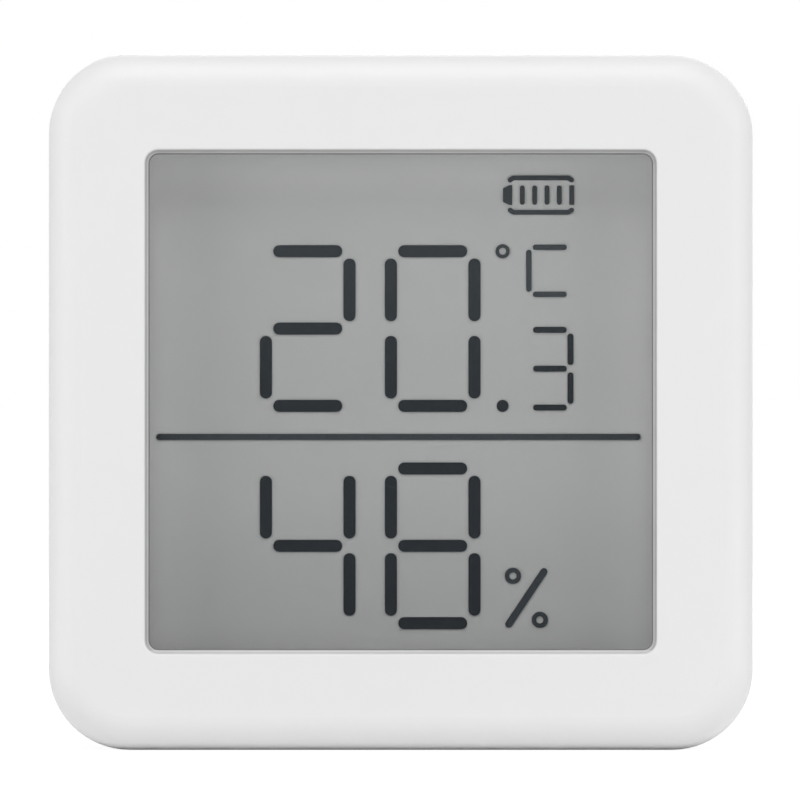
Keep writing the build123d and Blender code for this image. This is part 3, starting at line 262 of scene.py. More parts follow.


# Painted light: the digits' ink is lighter towards the top of the display.
digit_stops = [(9, (0.018, 0.022, 0.027)), (24, (0.022, 0.027, 0.032)), (45, (0.045, 0.052, 0.058))]
digit_tone = painted_light_by_height(digit_stops, speckle=0.03)
digit_ink = finish("digit_ink", digit_tone, roughness=0.4, Specular_IOR_Level=0.0)
dress(digit_ink, "temperature_digits", "humidity_digits")
# Painted light: the fine lines' ink is lighter towards the top too.
line_stops = [(9, (0.036, 0.042, 0.048)), (45, (0.062, 0.07, 0.077))]
line_tone = painted_light_by_height(line_stops, speckle=0.03)
line_ink = finish("fine_line_ink", line_tone, roughness=0.4, Specular_IOR_Level=0.0)
dress(line_ink, "unit_signs", "divider_line", "cell_symbol")


def painted_rim_light(tree, place):
    """Painted light: a factor that is 1 in the middle of the display, and rises towards its rim and a little
    to its right.
    The rim is painted brighter to make up for the shade that the opening's walls cast on the film."""
    half_width, half_height, reach, painted_rightward_rise = 19.6, 19.3, 2.4, 0.0015
    rise = maths(tree, "SUBTRACT", place[2], opening_middle)
    side = maths(tree, "SUBTRACT", half_width, maths(tree, "ABSOLUTE", place[0]))
    top = maths(tree, "SUBTRACT", half_height, rise)
    bottom = maths(tree, "ADD", half_height, rise)
    factor = maths(tree, "MULTIPLY_ADD", place[0], painted_rightward_rise, 1.0)
    for near, gain in ((side, 0.47), (top, 0.76), (bottom, 0.4)):
        fall = maths(tree, "EXPONENT", maths(tree, "DIVIDE", maths(tree, "MAXIMUM", near, 0.0), -reach))
        factor = maths(tree, "MULTIPLY", maths(tree, "MULTIPLY_ADD", fall, gain, 1.0), factor)
    return factor


film_stops = [(7, (0.347, 0.348, 0.345)), (24, (0.434, 0.435, 0.431)), (48, (0.478, 0.479, 0.475))]
# The film's grey carries painted light: lighter towards the top, towards its rim and a little to its right.
film_tone = painted_light_by_height(film_stops, speckle=0.02, drift=painted_rim_light)
film_grey = finish("reflecting_film", film_tone, roughness=0.6, Specular_IOR_Level=0.0)
dress(film_grey, "rear_reflector")

# Display frame
# Pale moulded frame that clips round the glass. Its pegs are melted over behind the board.
frame_pale = finish("frame_pale", (0.60, 0.60, 0.58), roughness=0.5, spread=0.02, patch=3.0, grain=0.003)
dress(frame_pale, "display_frame")

# Contact strips
# Silicone rubber strips with fine carbon layers, squeezed between the glass ledge and the board.


def quads(grid):
    """Faces of a grid of vertex numbers, four corners each."""
    corners = [grid[:-1, :-1], grid[1:, :-1], grid[1:, 1:], grid[:-1, 1:]]
    return np.stack(corners, -1).reshape(-1, 4)


def put_in_scene(name, chunks, material, sharp=40):
    """One object from (points in millimetres, faces) pairs, faces turned outward, smooth up to an angle."""
    points, faces, start = [], [], 0
    for chunk_points, chunk_faces in chunks:
        points.append(np.asarray(chunk_points).reshape(-1, 3))
        faces += [[start + corner for corner in face] for face in chunk_faces]
        start += len(points[-1])
    mesh = bpy.data.meshes.new(name)
    mesh.from_pydata((np.concatenate(points) * MM).tolist(), [], faces)
    work = bmesh.new()
    work.from_mesh(mesh)
    bmesh.ops.remove_doubles(work, verts=work.verts, dist=1e-4 * MM)
    bmesh.ops.recalc_face_normals(work, faces=work.faces)
    work.to_mesh(mesh)
    work.free()
    mesh.shade_smooth()
    mesh.set_sharp_from_angle(angle=radians(sharp))
    mesh.materials.append(material)
    made = bpy.data.objects.new(name, mesh)
    bpy.context.scene.collection.objects.link(made)
    made.modifiers.new("flat_faces_stay_flat", "WEIGHTED_NORMAL").keep_sharp = True
    return made


def rounded_outline(width, height, radius, steps=6):
    """Points and outward directions round a rectangle with quarter-circle corners, counter-clockwise."""
    turn = np.linspace(0, pi / 2, steps + 1)
    angles = np.concatenate([turn + quarter * pi / 2 for quarter in range(4)])
    out = np.stack([np.cos(angles), np.sin(angles)], -1)
    middles = np.repeat([[1, 1], [-1, 1], [-1, -1], [1, -1]], steps + 1, axis=0)
    points = middles * [width / 2 - radius, height / 2 - radius] + radius * out
    return points, out


def stacked(outline, out, layers, turn=lambda p: p):
    """Closed solid: the outline drawn in by an inset at each depth of layers, ends capped flat."""
    count = len(outline)
    rings = [np.column_stack([outline - inset * out, np.full(count, depth)]) for inset, depth in layers]
    points = np.stack(rings)[:, :, [0, 2, 1]]
    grid = np.arange(len(layers) * count).reshape(len(layers), count)
    faces = quads(np.concatenate([grid, grid[:, :1]], axis=1)).tolist()
    faces += [grid[0].tolist(), grid[-1, ::-1].tolist()]
    return turn(points.reshape(-1, 3)), faces


def soft_layers(low, high, edge, steps=4):
    """Insets and depths of a slab from low to high whose two edges are rounded by edge."""
    bend = np.linspace(0, pi / 2, steps + 1)
    inset = edge * (1 - np.sin(bend))
    rise = edge * (1 - np.cos(bend))
    first = list(zip(inset, low + rise))
    return first + [(i, high - r) for i, r in reversed(list(zip(inset, rise)))]


def wave_along(tree, coordinate, pitch):
    """Sine wave that repeats every pitch millimetres along a coordinate."""
    return maths(tree, "SINE", maths(tree, "MULTIPLY", coordinate, 2 * pi / pitch))


def striped(tree):
    """Fine dark stripes across the strip's length in pale grey rubber."""
    stripe_pitch = 0.2
    parts = add_node(tree, "ShaderNodeSeparateXYZ", {0: place_of(tree)})
    wave = wave_along(tree, parts.outputs[0], stripe_pitch)
    return mixed(tree, between(tree, wave, 0.0, 1.0), grey(0.025), (0.3, 0.3, 0.31))


def mm_box(name):
    """Lowest and highest corner of a CAD node in millimetres."""
    return [np.array(corner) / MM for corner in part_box(name)]


def soft_slab(box, layers, corner, margin=0.0, steps=6):
    """Closed plate in a node's box, with round corners seen from the face and the given layers in depth."""
    low, high = box
    span, middle = high - low, (high + low) / 2
    outline, out = rounded_outline(span[0] - margin, span[2] - margin, corner, steps)
    solid, faces = stacked(outline, out, layers)
    return solid + [middle[0], 0, middle[2]], faces


strip_rubber = finish("striped_rubber", striped, roughness=0.7)
strip_corner, strip_edge = 0.15, 0.12
for node in ("upper_contact_strip", "lower_contact_strip"):
    low, high = mm_box(node)
    layers = soft_layers(low[1], high[1], strip_edge)
    slab = soft_slab((low, high), layers, strip_corner, steps=3)
    strip = put_in_scene(node + "_rubber", [slab], strip_rubber)
    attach(strip, "case")
    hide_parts(node)

# Liquid film
# The liquid between the panes. Over its reflecting film it looks like one flat matt grey layer.
low, high = mm_box("edge_seal")
seal_sides, liquid_corner, liquid_edge = 1.2, 0.3, 0.002
liquid_front, liquid_back = high[1] - 0.015, high[1] - 0.003
layers = soft_layers(liquid_front, liquid_back, liquid_edge, steps=2)
slab = soft_slab((low, high), layers, liquid_corner, margin=seal_sides)
# The liquid takes the reflecting film's finish, painted light included.
liquid = put_in_scene("liquid_film", [slab], film_grey)
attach(liquid, "case")

# Circuit board
# Glass-fibre laminate under green solder lacquer. Its copper tracks show through as a paler green,
# and small tinned holes join the two sides.


def lacquered(tree):
    """Green lacquer, paler over the tracks: even lines that run along the board in some square patches
    and up it in others. Round tinned holes are strewn over it, each with a dark bore that is painted shade in
    the hole."""
    patch_scale, hole_scale, track_pitch, bare_share = 0.2, 0.3, 0.8, 0.35
    tin_radius, bore_radius = 0.09, 0.045
    track_start, track_full = 0.5, 0.8
    parts = add_node(tree, "ShaderNodeSeparateXYZ", {0: place_of(tree)}).outputs
    flat = add_node(tree, "ShaderNodeCombineXYZ", {0: parts[0], 1: parts[2]}).outputs[0]
    inputs = {"Vector": flat, "Scale": patch_scale, "Randomness": 0.6}
    options = {"voronoi_dimensions": "2D", "distance": "CHEBYCHEV"}
    patches = add_node(tree, "ShaderNodeTexVoronoi", inputs, **options)
    choice = add_node(tree, "ShaderNodeSeparateColor", {0: patches.outputs["Color"]}).outputs
    tracks = []
    for axis in (0, 2):
        wave = wave_along(tree, parts[axis], track_pitch)
        inputs = {0: wave, 1: track_start, 2: track_full}
        tracks.append(add_node(tree, "ShaderNodeMapRange", inputs).outputs[0])
    upright = maths(tree, "GREATER_THAN", choice[0], 0.5)
    track = add_node(tree, "ShaderNodeMix", {0: upright, 2: tracks[0], 3: tracks[1]}).outputs[0]
    mask = maths(tree, "MULTIPLY", track, maths(tree, "GREATER_THAN", choice[1], bare_share))
    tone = mixed(tree, mask, (0.008, 0.065, 0.033), (0.016, 0.115, 0.055))
    inputs = {"Vector": flat, "Scale": hole_scale, "Randomness": 1.0}
    holes = add_node(tree, "ShaderNodeTexVoronoi", inputs, voronoi_dimensions="2D")
    from_hole = holes.outputs["Distance"]
    tone = mixed(tree, maths(tree, "LESS_THAN", from_hole, tin_radius), tone, (0.55, 0.54, 0.5))
    # Painted shade: the bore of each hole is painted near black.
    return mixed(tree, maths(tree, "LESS_THAN", from_hole, bore_radius), tone, grey(0.01))


green_lacquer = finish("green_lacquer", lacquered, roughness=0.3, patch=4.0, Coat_Weight=0.3)
dress(green_lacquer, "main_board")

# Board screws
# Small zinc-plated steel screws with cross slots, driven into the front shell's bosses.


def bare_metal(name, colour, roughness, spread=0.05, patch=0.5, grain=0.0):
    """Bare or plated metal."""
    return finish(name, colour, roughness, spread, patch, grain, Metallic=1.0)


steel = (0.62, 0.61, 0.59)
zinc_screw = bare_metal("zinc_screw", steel, roughness=0.35, spread=0.06, patch=0.4, grain=0.002)
dress(zinc_screw, "board_screws")

# Chips, leads, crystals and small parts
# Moulded epoxy cases with tinned leads, drawn metal lids, and ceramic blocks with tinned ends.
epoxy = finish("moulded_epoxy", (0.018, 0.018, 0.019), roughness=0.55, spread=0.15, patch=0.5, grain=0.004)
dress(epoxy, "radio_chip", "driver_chip")
tinned = bare_metal("tinned_lead", (0.74, 0.73, 0.70), roughness=0.35, spread=0.05, patch=0.3)
dress(tinned, "driver_leads")
crystal_lid = bare_metal("crystal_lid", (0.70, 0.67, 0.60), roughness=0.28, spread=0.04, patch=0.8)
dress(crystal_lid, "crystals")


def band_mask(tree, axis, middle, half):
    """1 where a coordinate lies within half of middle, else 0."""
    parts = add_node(tree, "ShaderNodeSeparateXYZ", {0: place_of(tree)})
    return maths(tree, "COMPARE", parts.outputs[axis], middle, half)


def polarity_band(tree):
    """Orange moulding with a brown band at its plus end."""
    low, _ = mm_box("tank_capacitor")
    band = 0.7
    return mixed(tree, band_mask(tree, 0, low[0], band), (0.72, 0.36, 0.06), (0.22, 0.09, 0.02))


moulded_tantalum = finish("moulded_tantalum", polarity_band, roughness=0.5, patch=1.0)
dress(moulded_tantalum, "tank_capacitor")


def tinned_ends(tree):
    """Brown ceramic in the middle of each small part, bare tin at its two ends."""
    columns, ceramic_half = (-9.25, 5.25, 14.4), 0.5
    mask = 0.0
    for column in columns:
        mask = maths(tree, "ADD", band_mask(tree, 0, column, ceramic_half), mask)
    return mixed(tree, mask, (0.70, 0.70, 0.68), (0.30, 0.20, 0.11))


ceramic_chip = finish("ceramic_chip", tinned_ends, roughness=0.4, patch=0.6)
dress(ceramic_chip, "chip_parts")
bare_copper = bare_metal("bare_copper", (0.72, 0.42, 0.26), roughness=0.35, spread=0.08, patch=0.6)
dress(bare_copper, "antenna_trace")

# Humidity sensor and its gasket
# Dark moulded sensor with an air port, boxed in by foam so that it feels the room's air only.
sensor_black = (0.02, 0.02, 0.021)
sensor_moulding = finish("sensor_moulding", sensor_black, roughness=0.45, spread=0.1, patch=0.4, grain=0.003)
dress(sensor_moulding, "humidity_sensor")


def pores(tree):
    """Dark pores between the pale ribs of an open foam, painted as shade that falls into its holes."""
    pores_per_mm = 5.0
    inputs = {"Vector": place_of(tree), "Scale": pores_per_mm}
    cells = add_node(tree, "ShaderNodeTexVoronoi", inputs, feature="F1").outputs[0]
    # Painted shade: the pores are darker than the ribs.
    return mixed(tree, cells, (0.10, 0.10, 0.105), (0.035, 0.035, 0.038))


foam = finish("open_foam", pores, roughness=0.9, patch=0.6, grain=0.05, grain_size=0.25)
low, high = mm_box("sensor_gasket")
foam_wall, foam_edge = 1.6, 0.15
inner = (high[0] - foam_wall, low[2] + foam_wall, high[2] - foam_wall)
corner_x = [low[0], high[0], high[0], low[0], low[0], inner[0], inner[0], low[0]]
corner_z = [low[2], low[2], high[2], high[2], inner[2], inner[2], inner[1], inner[1]]
outward = np.array([[-1, -1], [1, -1], [1, 1], [-1, 1], [-1, -1], [-1, -1], [-1, 1], [-1, 1]])
outline = np.column_stack([corner_x, corner_z])
frame_of_foam = stacked(outline, outward, soft_layers(low[1], high[1], foam_edge))
gasket = put_in_scene("sensor_foam", [frame_of_foam], foam)
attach(gasket, "case")
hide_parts("sensor_gasket")

# Push switch
# Black moulded body under a stamped steel cover, and a round grey moulded plunger.


def covered(tree):
    """Steel cover on the rear half of the switch, black moulding in front."""
    _, high = mm_box("switch_body")
    cover_depth = 1.2
    return mixed(tree, band_mask(tree, 1, high[1], cover_depth), grey(0.02), (0.5, 0.49, 0.47))


switch_case = finish("switch_case", covered, roughness=0.4, patch=1.0)
dress(switch_case, "switch_body")
plunger_grey = finish("plunger_grey", grey(0.26), roughness=0.45, spread=0.05, patch=0.4, grain=0.003)
dress(plunger_grey, "switch_plunger")

# Unit button
# White ABS button that slides in a guide behind the dish in the back shell.


def soft_edges(material, radius):
    """Rounds the sharp edges of a grained moulding in its shading, over radius millimetres."""
    tree = material.node_tree
    edge = add_node(tree, "ShaderNodeBevel", {"Radius": radius * MM}, samples=4).outputs[0]
    bump = tree.nodes["Principled BSDF"].inputs["Normal"].links[0].from_node
    tree.links.new(edge, bump.inputs["Normal"])
    return material


def moulded_white(name, roughness, patch, grain, grain_size=0.12):
    """White ABS whose colour hardly drifts."""
    return finish(name, white, roughness, 0.006, patch, grain, grain_size)


button_white = moulded_white("button_white", roughness=0.42, patch=3.0, grain=0.001)
dress(soft_edges(button_white, radius=0.1), "unit_button")

# Back shell
# White ABS moulding with the cell bay, the leg's pocket, the strap tunnel and the button's dish.
# Plus and minus signs stand out of the bay's floor, and the units are printed under the button.
back_white = moulded_white("back_white", roughness=0.52, patch=6.0, grain=0.0025, grain_size=0.16)
dress(soft_edges(back_white, radius=0.12), "back_shell")


def bent_block(u_span, v_span, w_span, place, steps=(1, 1)):
    """Closed block in u, v and w, carried into space by place(u, v, w)."""
    u, v = (np.linspace(*span, count + 1) for span, count in zip((u_span, v_span), steps))
    sides = [np.stack(place(*np.meshgrid(u, v, [w], indexing="ij")), -1).reshape(-1, 3) for w in w_span]
    near = np.arange(len(u) * len(v)).reshape(len(u), len(v))
    far = near + near.size
    border = np.concatenate([near[:, 0], near[-1, 1:], near[-2::-1, -1], near[0, -2::-1]])
    faces = quads(near).tolist() + quads(far).tolist()
    faces += quads(np.stack([border, border + near.size])).tolist()
    return np.concatenate(sides), faces


cell_low, cell_high = mm_box("upper_cell_jacket")
lower_low, lower_high = mm_box("lower_cell_jacket")
cell_axis_y = (cell_low[1] + cell_high[1]) / 2
bay_axis_z = {1: (cell_low[2] + cell_high[2]) / 2, -1: (lower_low[2] + lower_high[2]) / 2}
bay_radius = 5.45
sign_x, sign_half, stroke_half = 15.5, 1.6, 0.42
stroke_turn, plus_turn = 4.5, 17.0
sign_rise = (-0.1, 0.12)


def on_trough(axis_z):
    """Places a block on the round floor of the bay: u along it, v round it in degrees, w out of it."""

    def place(u, v, w):
        reach = bay_radius - w
        return u, cell_axis_y - reach * np.cos(np.radians(v)), axis_z + reach * np.sin(np.radians(v))

    return place


bars = []
for side in (1, -1):
    place = on_trough(bay_axis_z[side])
    for x in (side * sign_x, -side * sign_x):
        level = (x - sign_half, x + sign_half)
        bars.append(bent_block(level, (-stroke_turn, stroke_turn), sign_rise, place, steps=(4, 4)))
    upright = (side * sign_x - stroke_half, side * sign_x + stroke_half)
    for turn in ((stroke_turn, plus_turn), (-plus_turn, -stroke_turn)):
        bars.append(bent_block(upright, turn, sign_rise, place, steps=(1, 6)))
grained_white = moulded_white("grained_white", roughness=0.5, patch=6.0, grain=0.002, grain_size=0.14)
signs = put_in_scene("bay_signs", bars, grained_white)
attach(signs, "case")

print_y = cad_box[1][1] / MM
label_x, label_z = 20.4, 5.6
ink_rise = (-0.05, 0.015)


def on_back(x, z):
    """Places a block on the back, seen from behind: u to the right, v up, w out of the wall."""

    def place(u, v, w):
        return x - u, print_y + w, z + v

    return place


def round_back(x, z):
    """The same with u as a radius and v as an angle in degrees."""

    def place(u, v, w):
        return x - u * np.cos(np.radians(v)), print_y + w, z + u * np.sin(np.radians(v))

    return place


def flat_ring(inner, outer, w_span, place, steps=24):
    """Closed ring: a rectangle in u and w goes once round, with v as the angle of place(u, v, w)."""
    u = np.array([inner, outer, outer, inner])[:, None]
    w = np.repeat(w_span, 2)[:, None]
    angle = np.linspace(0, 360, steps, endpoint=False)
    points = np.stack(np.broadcast_arrays(*place(u, angle, w)), -1)
    grid = np.arange(u.size * steps).reshape(-1, steps)
    return points.reshape(-1, 3), quads(np.pad(grid, ((0, 1), (0, 1)), mode="wrap")).tolist()


def letter_f(place):
    """The letter F as one closed outline, which runs round it counter-clockwise from its foot."""
    outline = [(-0.5, -0.8), (-0.3, -0.8), (-0.3, -0.1), (0.4, -0.1), (0.4, 0.1)]
    outline = np.array(outline + [(-0.3, 0.1), (-0.3, 0.6), (0.55, 0.6), (0.55, 0.8), (-0.5, 0.8)])
    layers = [(0, depth) for depth in ink_rise]
    return stacked(outline, 0 * outline, layers, lambda p: np.stack(place(p[:, 0], p[:, 2], p[:, 1]), -1))


def slanted(u, v, w):
    """Places a block on the back like on_back, leaning to the right as it rises."""
    lean = 0.3
    return label_x - u - lean * v, print_y + w, label_z + v


ring_x, ring_z, ring_radii = (label_x + 2.25, label_x - 0.75), label_z + 0.6, (0.16, 0.33)
c_x, c_radii, c_turn = label_x + 1.15, (0.6, 0.8), (45, 315)
f_x, slash_width, slash_height = label_x - 1.85, (-0.1, 0.1), (-0.9, 0.9)
slash = bent_block(slash_width, slash_height, ink_rise, slanted)
rings = [flat_ring(*ring_radii, ink_rise, round_back(x, ring_z)) for x in ring_x]
letter_c = bent_block(c_radii, c_turn, ink_rise, round_back(c_x, label_z), steps=(1, 24))
label = [slash, *rings, letter_c, letter_f(on_back(f_x, label_z))]
print_grey = finish("print_grey", (0.20, 0.20, 0.21), roughness=0.6, spread=0.05, patch=0.2)
units = put_in_scene("unit_print", label, print_grey)
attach(units, "case")

# Contacts
# Nickel-plated spring steel, stamped flat with a pressed boss where a cell's nub touches.


def rolled(tree):
    """Bright plating with faint lines along the rolled strip."""
    lines_per_mm = 18.0
    parts = add_node(tree, "ShaderNodeSeparateXYZ", {0: place_of(tree)})
    across = add_node(tree, "ShaderNodeCombineXYZ", {1: parts.outputs[1]}).outputs[0]
    inputs = {"Vector": across, "Scale": lines_per_mm, "Detail": 3.0}
    lines = add_node(tree, "ShaderNodeTexNoise", inputs).outputs["Fac"]
    return mixed(tree, lines, (0.60, 0.58, 0.54), (0.72, 0.70, 0.66))


plated = bare_metal("rolled_nickel", rolled, roughness=0.3, patch=1.0)
dress(plated, "bridge_contact", "plus_contact", "minus_contact")

# Springs
# Conical springs of nickel-plated wire on the contacts: three turns that close towards the cell.
wire_radius, wide, narrow, turns, steps_per_turn = 0.2, 3.0, 1.4, 3, 64
wire_finish = bare_metal("bright_wire", (0.70, 0.68, 0.64), roughness=0.25, spread=0.04, patch=0.3)


def wire_tube(path, radius, sides=14):
    """Round tube along a path: path + radius (out cos a + side sin a), with out and side square to the
    path at each point. Its ends are closed to a pole."""
    along = np.gradient(path, axis=0)
    along /= np.linalg.norm(along, axis=1, keepdims=True)
    out = np.cross(along, np.cross([1.0, 0, 0], along))
    out /= np.linalg.norm(out, axis=1, keepdims=True)
    side = np.cross(along, out)
    angle = np.linspace(0, 2 * pi, sides, endpoint=False)[:, None]
    rings = path[:, None] + radius * (out[:, None] * np.cos(angle) + side[:, None] * np.sin(angle))
    grid = np.arange(len(path) * sides).reshape(len(path), sides)
    faces = quads(np.concatenate([grid, grid[:, :1]], axis=1)).tolist()
    cap = radius * 0.5
    poles = np.array([path[0] - along[0] * cap, path[-1] + along[-1] * cap])
    for ring, pole in ((grid[0], len(path) * sides), (grid[-1], len(path) * sides + 1)):
        faces += np.stack([ring, np.roll(ring, -1), np.full(sides, pole)], -1).tolist()
    return np.concatenate([rings.reshape(-1, 3), poles]), faces


for node, side in (("bridge_spring", 1), ("minus_spring", -1)):
    low, high = mm_box(node)
    turn = np.linspace(0, turns, turns * steps_per_turn + 1)
    share = turn / turns
    coil = wide + (narrow - wide) * share
    run = high[0] - low[0] - 2 * wire_radius
    angle = 2 * pi * turn
    line = np.stack([run * share, coil * np.cos(angle), coil * np.sin(angle)], -1)
    line[:, :2] *= side
    start = low[0] + wire_radius if side > 0 else high[0] - wire_radius
    line += [start, cell_axis_y, bay_axis_z[side]]
    spring = put_in_scene(node + "_wire", [wire_tube(line, wire_radius)], wire_finish, sharp=60)
    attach(spring, "case")
    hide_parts(node)

# Cells
# Drawn steel can with a nub, filled with paste, in a printed sleeve shrunk over both shoulders.
# The print is plain: a slate sleeve, a green band at the plus end, and a plus and a minus sign.


def turned(profile, start, direction, y, z, steps=96):
    """Surface of revolution about a line along X: the profile's (along, radius) pairs turned all round,
    at (start + direction along, y + radius cos a, z + radius sin a)."""
    along, radius = np.array(profile, float).T[:, :, None]
    angle = np.linspace(0, 2 * pi, steps, endpoint=False)
    rows = (start + direction * along, y + radius * np.cos(angle), z + radius * np.sin(angle))
    points = np.stack(np.broadcast_arrays(*rows), -1)
    grid = np.arange(len(profile) * steps).reshape(len(profile), steps)
    return points.reshape(-1, 3), quads(np.concatenate([grid, grid[:, :1]], axis=1)).tolist()


def arc(middle, radius, first, last, steps=6):
    """Profile points on a circle, between two angles in degrees."""
    angle = np.radians(np.linspace(first, last, steps + 1))
    return list(zip(middle[0] + radius * np.cos(angle), middle[1] + radius * np.sin(angle)))


can_length, nub_height, can_radius, nub_radius = 44.5, 0.9, 5.15, 1.9
can_bend, nub_bend, nub_foot = 0.6, 0.25, 0.1
dish_depth, dish_radius, dish_bend, dish_lip, rim_radius = 0.12, 3.4, 0.3, 0.02, 4.4
groove_depth, groove_outer, groove_inner, groove_slope = 0.15, 3.2, 2.3, 0.2
shoulder = can_length - nub_height
groove = shoulder - groove_depth
can_profile = [(dish_depth, 0), (dish_depth, dish_radius)]
can_profile += arc((dish_lip + dish_bend, dish_radius + dish_bend), dish_bend, 210, 180, steps=3)
can_profile += [(0, rim_radius), *arc((can_bend, can_radius - can_bend), can_bend, 180, 90)]
can_profile += arc((shoulder - can_bend, can_radius - can_bend), can_bend, 90, 0)
can_profile += [(shoulder, groove_outer), (groove, groove_outer - groove_slope)]
can_profile += [(groove, groove_inner + groove_slope), (shoulder, groove_inner)]
can_profile += [(shoulder, nub_radius + nub_foot), (shoulder + nub_foot, nub_radius)]
can_profile += arc((can_length - nub_bend, nub_radius - nub_bend), nub_bend, 90, 0, steps=4)
can_profile += [(can_length, 0.0)]
sleeve_lip, sleeve_radius, sleeve_bend, shrink_gap = 1.1, 5.25, 0.1, 0.005
sleeve_start, sleeve_end, sleeve_inside = sleeve_lip, shoulder - sleeve_lip, can_radius + shrink_gap
sleeve_arc = sleeve_radius - sleeve_bend
sleeve_profile = [(sleeve_start, sleeve_inside)]
sleeve_profile += arc((sleeve_start + sleeve_bend, sleeve_arc), sleeve_bend, 180, 90, steps=3)
sleeve_profile += [(x, sleeve_radius) for x in np.linspace(sleeve_start + 1, sleeve_end - 1, 12)]
sleeve_profile += arc((sleeve_end - sleeve_bend, sleeve_arc), sleeve_bend, 90, 0, steps=3)
sleeve_profile += [(sleeve_end, sleeve_inside), (sleeve_start, sleeve_inside)]


def printed_sleeve(side, start):
    """Sleeve print laid out on Object coordinates: along the cell, and height beside its middle."""

    def colour(tree):
        parts = add_node(tree, "ShaderNodeSeparateXYZ", {0: place_of(tree)})
        along = maths(tree, "MULTIPLY", maths(tree, "SUBTRACT", parts.outputs[0], start), float(side))
        rise = maths(tree, "ABSOLUTE", maths(tree, "SUBTRACT", parts.outputs[2], bay_axis_z[side]))

        def stripe(middle, half):
            return maths(tree, "COMPARE", along, middle, half)

        def within(limit):
            return maths(tree, "LESS_THAN", rise, limit)

        def both(first, second):
            return maths(tree, "MULTIPLY", first, second)

        slate, green, pale = (0.03, 0.037, 0.045), (0.05, 0.30, 0.20), (0.75, 0.76, 0.75)
        band_at, band_half, line_at, line_half = 36.5, 7.0, 28.4, 0.35
        plus_at, minus_at, plus_half, minus_half = 38.0, 5.5, 1.7, 1.5
        tone = mixed(tree, stripe(band_at, band_half), slate, green)
        tone = mixed(tree, stripe(line_at, line_half), tone, green)
        level = both(stripe(plus_at, plus_half), within(line_half))
        upright = both(stripe(plus_at, line_half), within(plus_half))
        tone = mixed(tree, maths(tree, "MAXIMUM", level, upright), tone, pale)
        minus = both(stripe(minus_at, minus_half), within(line_half))
        return mixed(tree, minus, tone, pale)

    return colour


can_finish = bare_metal("bright_can", (0.66, 0.65, 0.63), roughness=0.25, spread=0.04, patch=1.0)
cell_paste = finish("cell_paste", (0.05, 0.045, 0.04), roughness=0.8, spread=0.2, patch=0.5)
dress(cell_paste, "upper_cell_core", "lower_cell_core")
for word, side in (("upper", 1), ("lower", -1)):
    low, high = mm_box(f"{word}_cell_can")
    start = low[0] if side > 0 else high[0]
    axis = (cell_axis_y, bay_axis_z[side])
    can = put_in_scene(f"{word}_cell_steel", [turned(can_profile, start, side, *axis)], can_finish)
    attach(can, "case")
    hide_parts(f"{word}_cell_can")
    look = finish(f"{word}_sleeve_print", printed_sleeve(side, start), roughness=0.3, patch=3.0)
    sleeve = put_in_scene(f"{word}_cell_sleeve", [turned(sleeve_profile, start, side, *axis)], look)
    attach(sleeve, "case")
    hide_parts(f"{word}_cell_jacket")

# Cell door
# White ABS door with two hinge stubs and a springy latch moulded in one piece with it.
# It snaps shut behind a ridge in the back shell.
door_white = moulded_white("door_white", roughness=0.5, patch=6.0, grain=0.0025, grain_size=0.16)
dress(soft_edges(door_white, radius=0.12), "cell_door")

# Door pad
# Strip of dark foam glued inside the door, which keeps the cells from rattling.
low, high = mm_box("door_pad")
pad_corner, pad_edge = 1.5, 0.18
layers = soft_layers(low[1], high[1], pad_edge)
pad = put_in_scene("door_foam", [soft_slab((low, high), layers, pad_corner)], foam)
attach(pad, "door")
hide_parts("door_pad")

# Stand leg
# White ABS leg with grip grooves at its foot and two magnets glued into its inner face.
leg_white = moulded_white("leg_white", roughness=0.5, patch=5.0, grain=0.0025, grain_size=0.16)
dress(soft_edges(leg_white, radius=0.12), "stand_leg")
drawn_pin = bare_metal("drawn_pin", steel, roughness=0.3, spread=0.05, patch=0.5, grain=0.001)
dress(drawn_pin, "leg_pin")
plated_magnet = bare_metal("plated_magnet", (0.70, 0.70, 0.69), roughness=0.2, spread=0.04, patch=0.8)
dress(plated_magnet, "leg_magnets")

# Floor
# Plain pale table under the object. It reads white to the camera and keeps the object's shadow.
floor_paint = bpy.data.materials.new("white_table")
floor_paint.use_nodes = True
tree = floor_paint.node_tree
tree.nodes.remove(tree.nodes["Principled BSDF"])
glow_strength, glow_share = 1.1, 0.85
matt = add_node(tree, "ShaderNodeBsdfDiffuse", {"Color": (0.95, 0.95, 0.95, 1)})
seen = add_node(tree, "ShaderNodeLightPath").outputs["Is Camera Ray"]
glow = add_node(tree, "ShaderNodeEmission", {"Color": (1, 1, 1, 1), "Strength": glow_strength})
shade = add_node(tree, "ShaderNodeMixShader", {0: glow_share, 1: matt.outputs[0], 2: glow.outputs[0]})
shader = add_node(tree, "ShaderNodeMixShader", {0: seen, 1: matt.outputs[0], 2: shade.outputs[0]})
tree.links.new(shader.outputs[0], tree.nodes["Material Output"].inputs[0])
table_half, table_front, table_depth, table_gap = 60000, -450, -20, -0.05
spans = ((-table_half, table_half), (table_front, table_half), (table_depth, table_gap))
table = bent_block(*spans, lambda u, v, w: (u, v, w), steps=(4, 4))
floor = put_in_scene("floor", [table], floor_paint)

# Light
# Pale room light from all round, brighter from above, with four soft lamps: one above and in front,
# one at each side, and one behind that lights the back.
world = bpy.data.worlds.new("pale_room")
bpy.context.scene.world = world
world.use_nodes = True
tree = world.node_tree
tree.nodes.clear()
direction = add_node(tree, "ShaderNodeTexCoord").outputs["Generated"]
toward = add_node(tree, "ShaderNodeSeparateXYZ", {0: direction}).outputs


def ramped(value, start, end, low, high):
    """World level that runs from low to high as value runs from start to end."""
    inputs = {0: value, 1: start, 2: end, 3: low, 4: high}
    return add_node(tree, "ShaderNodeMapRange", inputs).outputs[0]


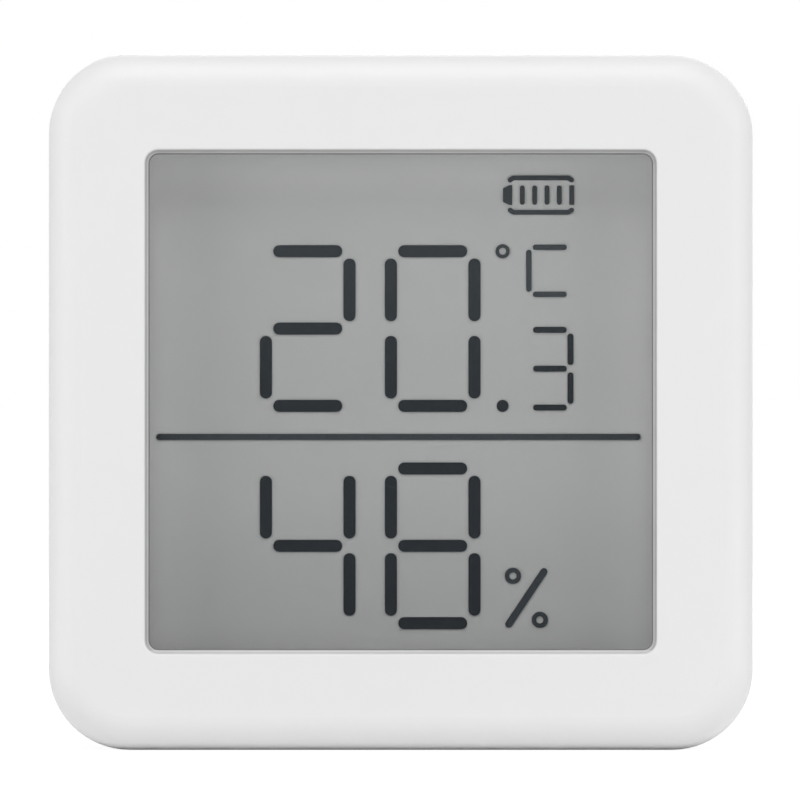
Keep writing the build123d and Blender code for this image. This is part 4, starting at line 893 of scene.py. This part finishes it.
around = ramped(toward[1], start=0.0, end=0.5, low=0.24, high=0.2)
overhead = ramped(toward[2], start=0.1, end=0.8, low=0.0, high=0.3)
room = maths(tree, "ADD", around, overhead)
# Shiny pieces mirror a white room that is dark right behind the camera.
dark_side = ramped(toward[1], start=-0.98, end=-0.8, low=0.1, high=1.0)
path = add_node(tree, "ShaderNodeLightPath").outputs
mirror_ray = maths(tree, "MAXIMUM", path["Is Glossy Ray"], path["Is Transmission Ray"])
mirrored = add_node(tree, "ShaderNodeMix", {0: mirror_ray, 2: room, 3: dark_side}).outputs[0]
level = add_node(tree, "ShaderNodeMix", {0: path["Is Camera Ray"], 2: mirrored, 3: 1.0}).outputs[0]
sky = add_node(tree, "ShaderNodeBackground", {"Color": (1, 1, 1, 1), "Strength": level})
add_node(tree, "ShaderNodeOutputWorld", {0: sky.outputs[0]})

aim = Vector((0, 0, 0.027))
for name, place, size, power in (
    ("lamp_above", (0.0, -0.65, 1.0), 0.6, 5.3),
    ("lamp_left", (-1.05, -0.55, 0.15), 0.5, 4.1),
    ("lamp_right", (1.05, -0.55, 0.15), 0.5, 4.1),
    ("lamp_behind", (0.2, 1.0, 0.45), 0.6, 4.6),
):
    light = bpy.data.lights.new(name, "AREA")
    light.size = size
    light.energy = power
    lamp = bpy.data.objects.new(name, light)
    lamp.location = place
    lamp.rotation_euler = (aim - lamp.location).to_track_quat("-Z", "Y").to_euler()
    bpy.context.scene.collection.objects.link(lamp)

# Camera
# Long lens, square on to the face, as in the photograph: the frame is 62.5 mm wide at the window.
lens_distance, seen_width, window_depth = 1.2, 0.0625, 0.01
sight_x, sight_z = -0.00006, 0.02734
camera_data = bpy.data.cameras.new("camera")
camera_data.lens = camera_data.sensor_width * lens_distance / seen_width
camera = bpy.data.objects.new("camera", camera_data)
camera.location = (sight_x, -lens_distance - window_depth, sight_z)
camera.rotation_euler = (pi / 2, 0, 0)
bpy.context.scene.collection.objects.link(camera)
bpy.context.scene.camera = camera
bpy.context.scene.view_settings.view_transform = "Standard"
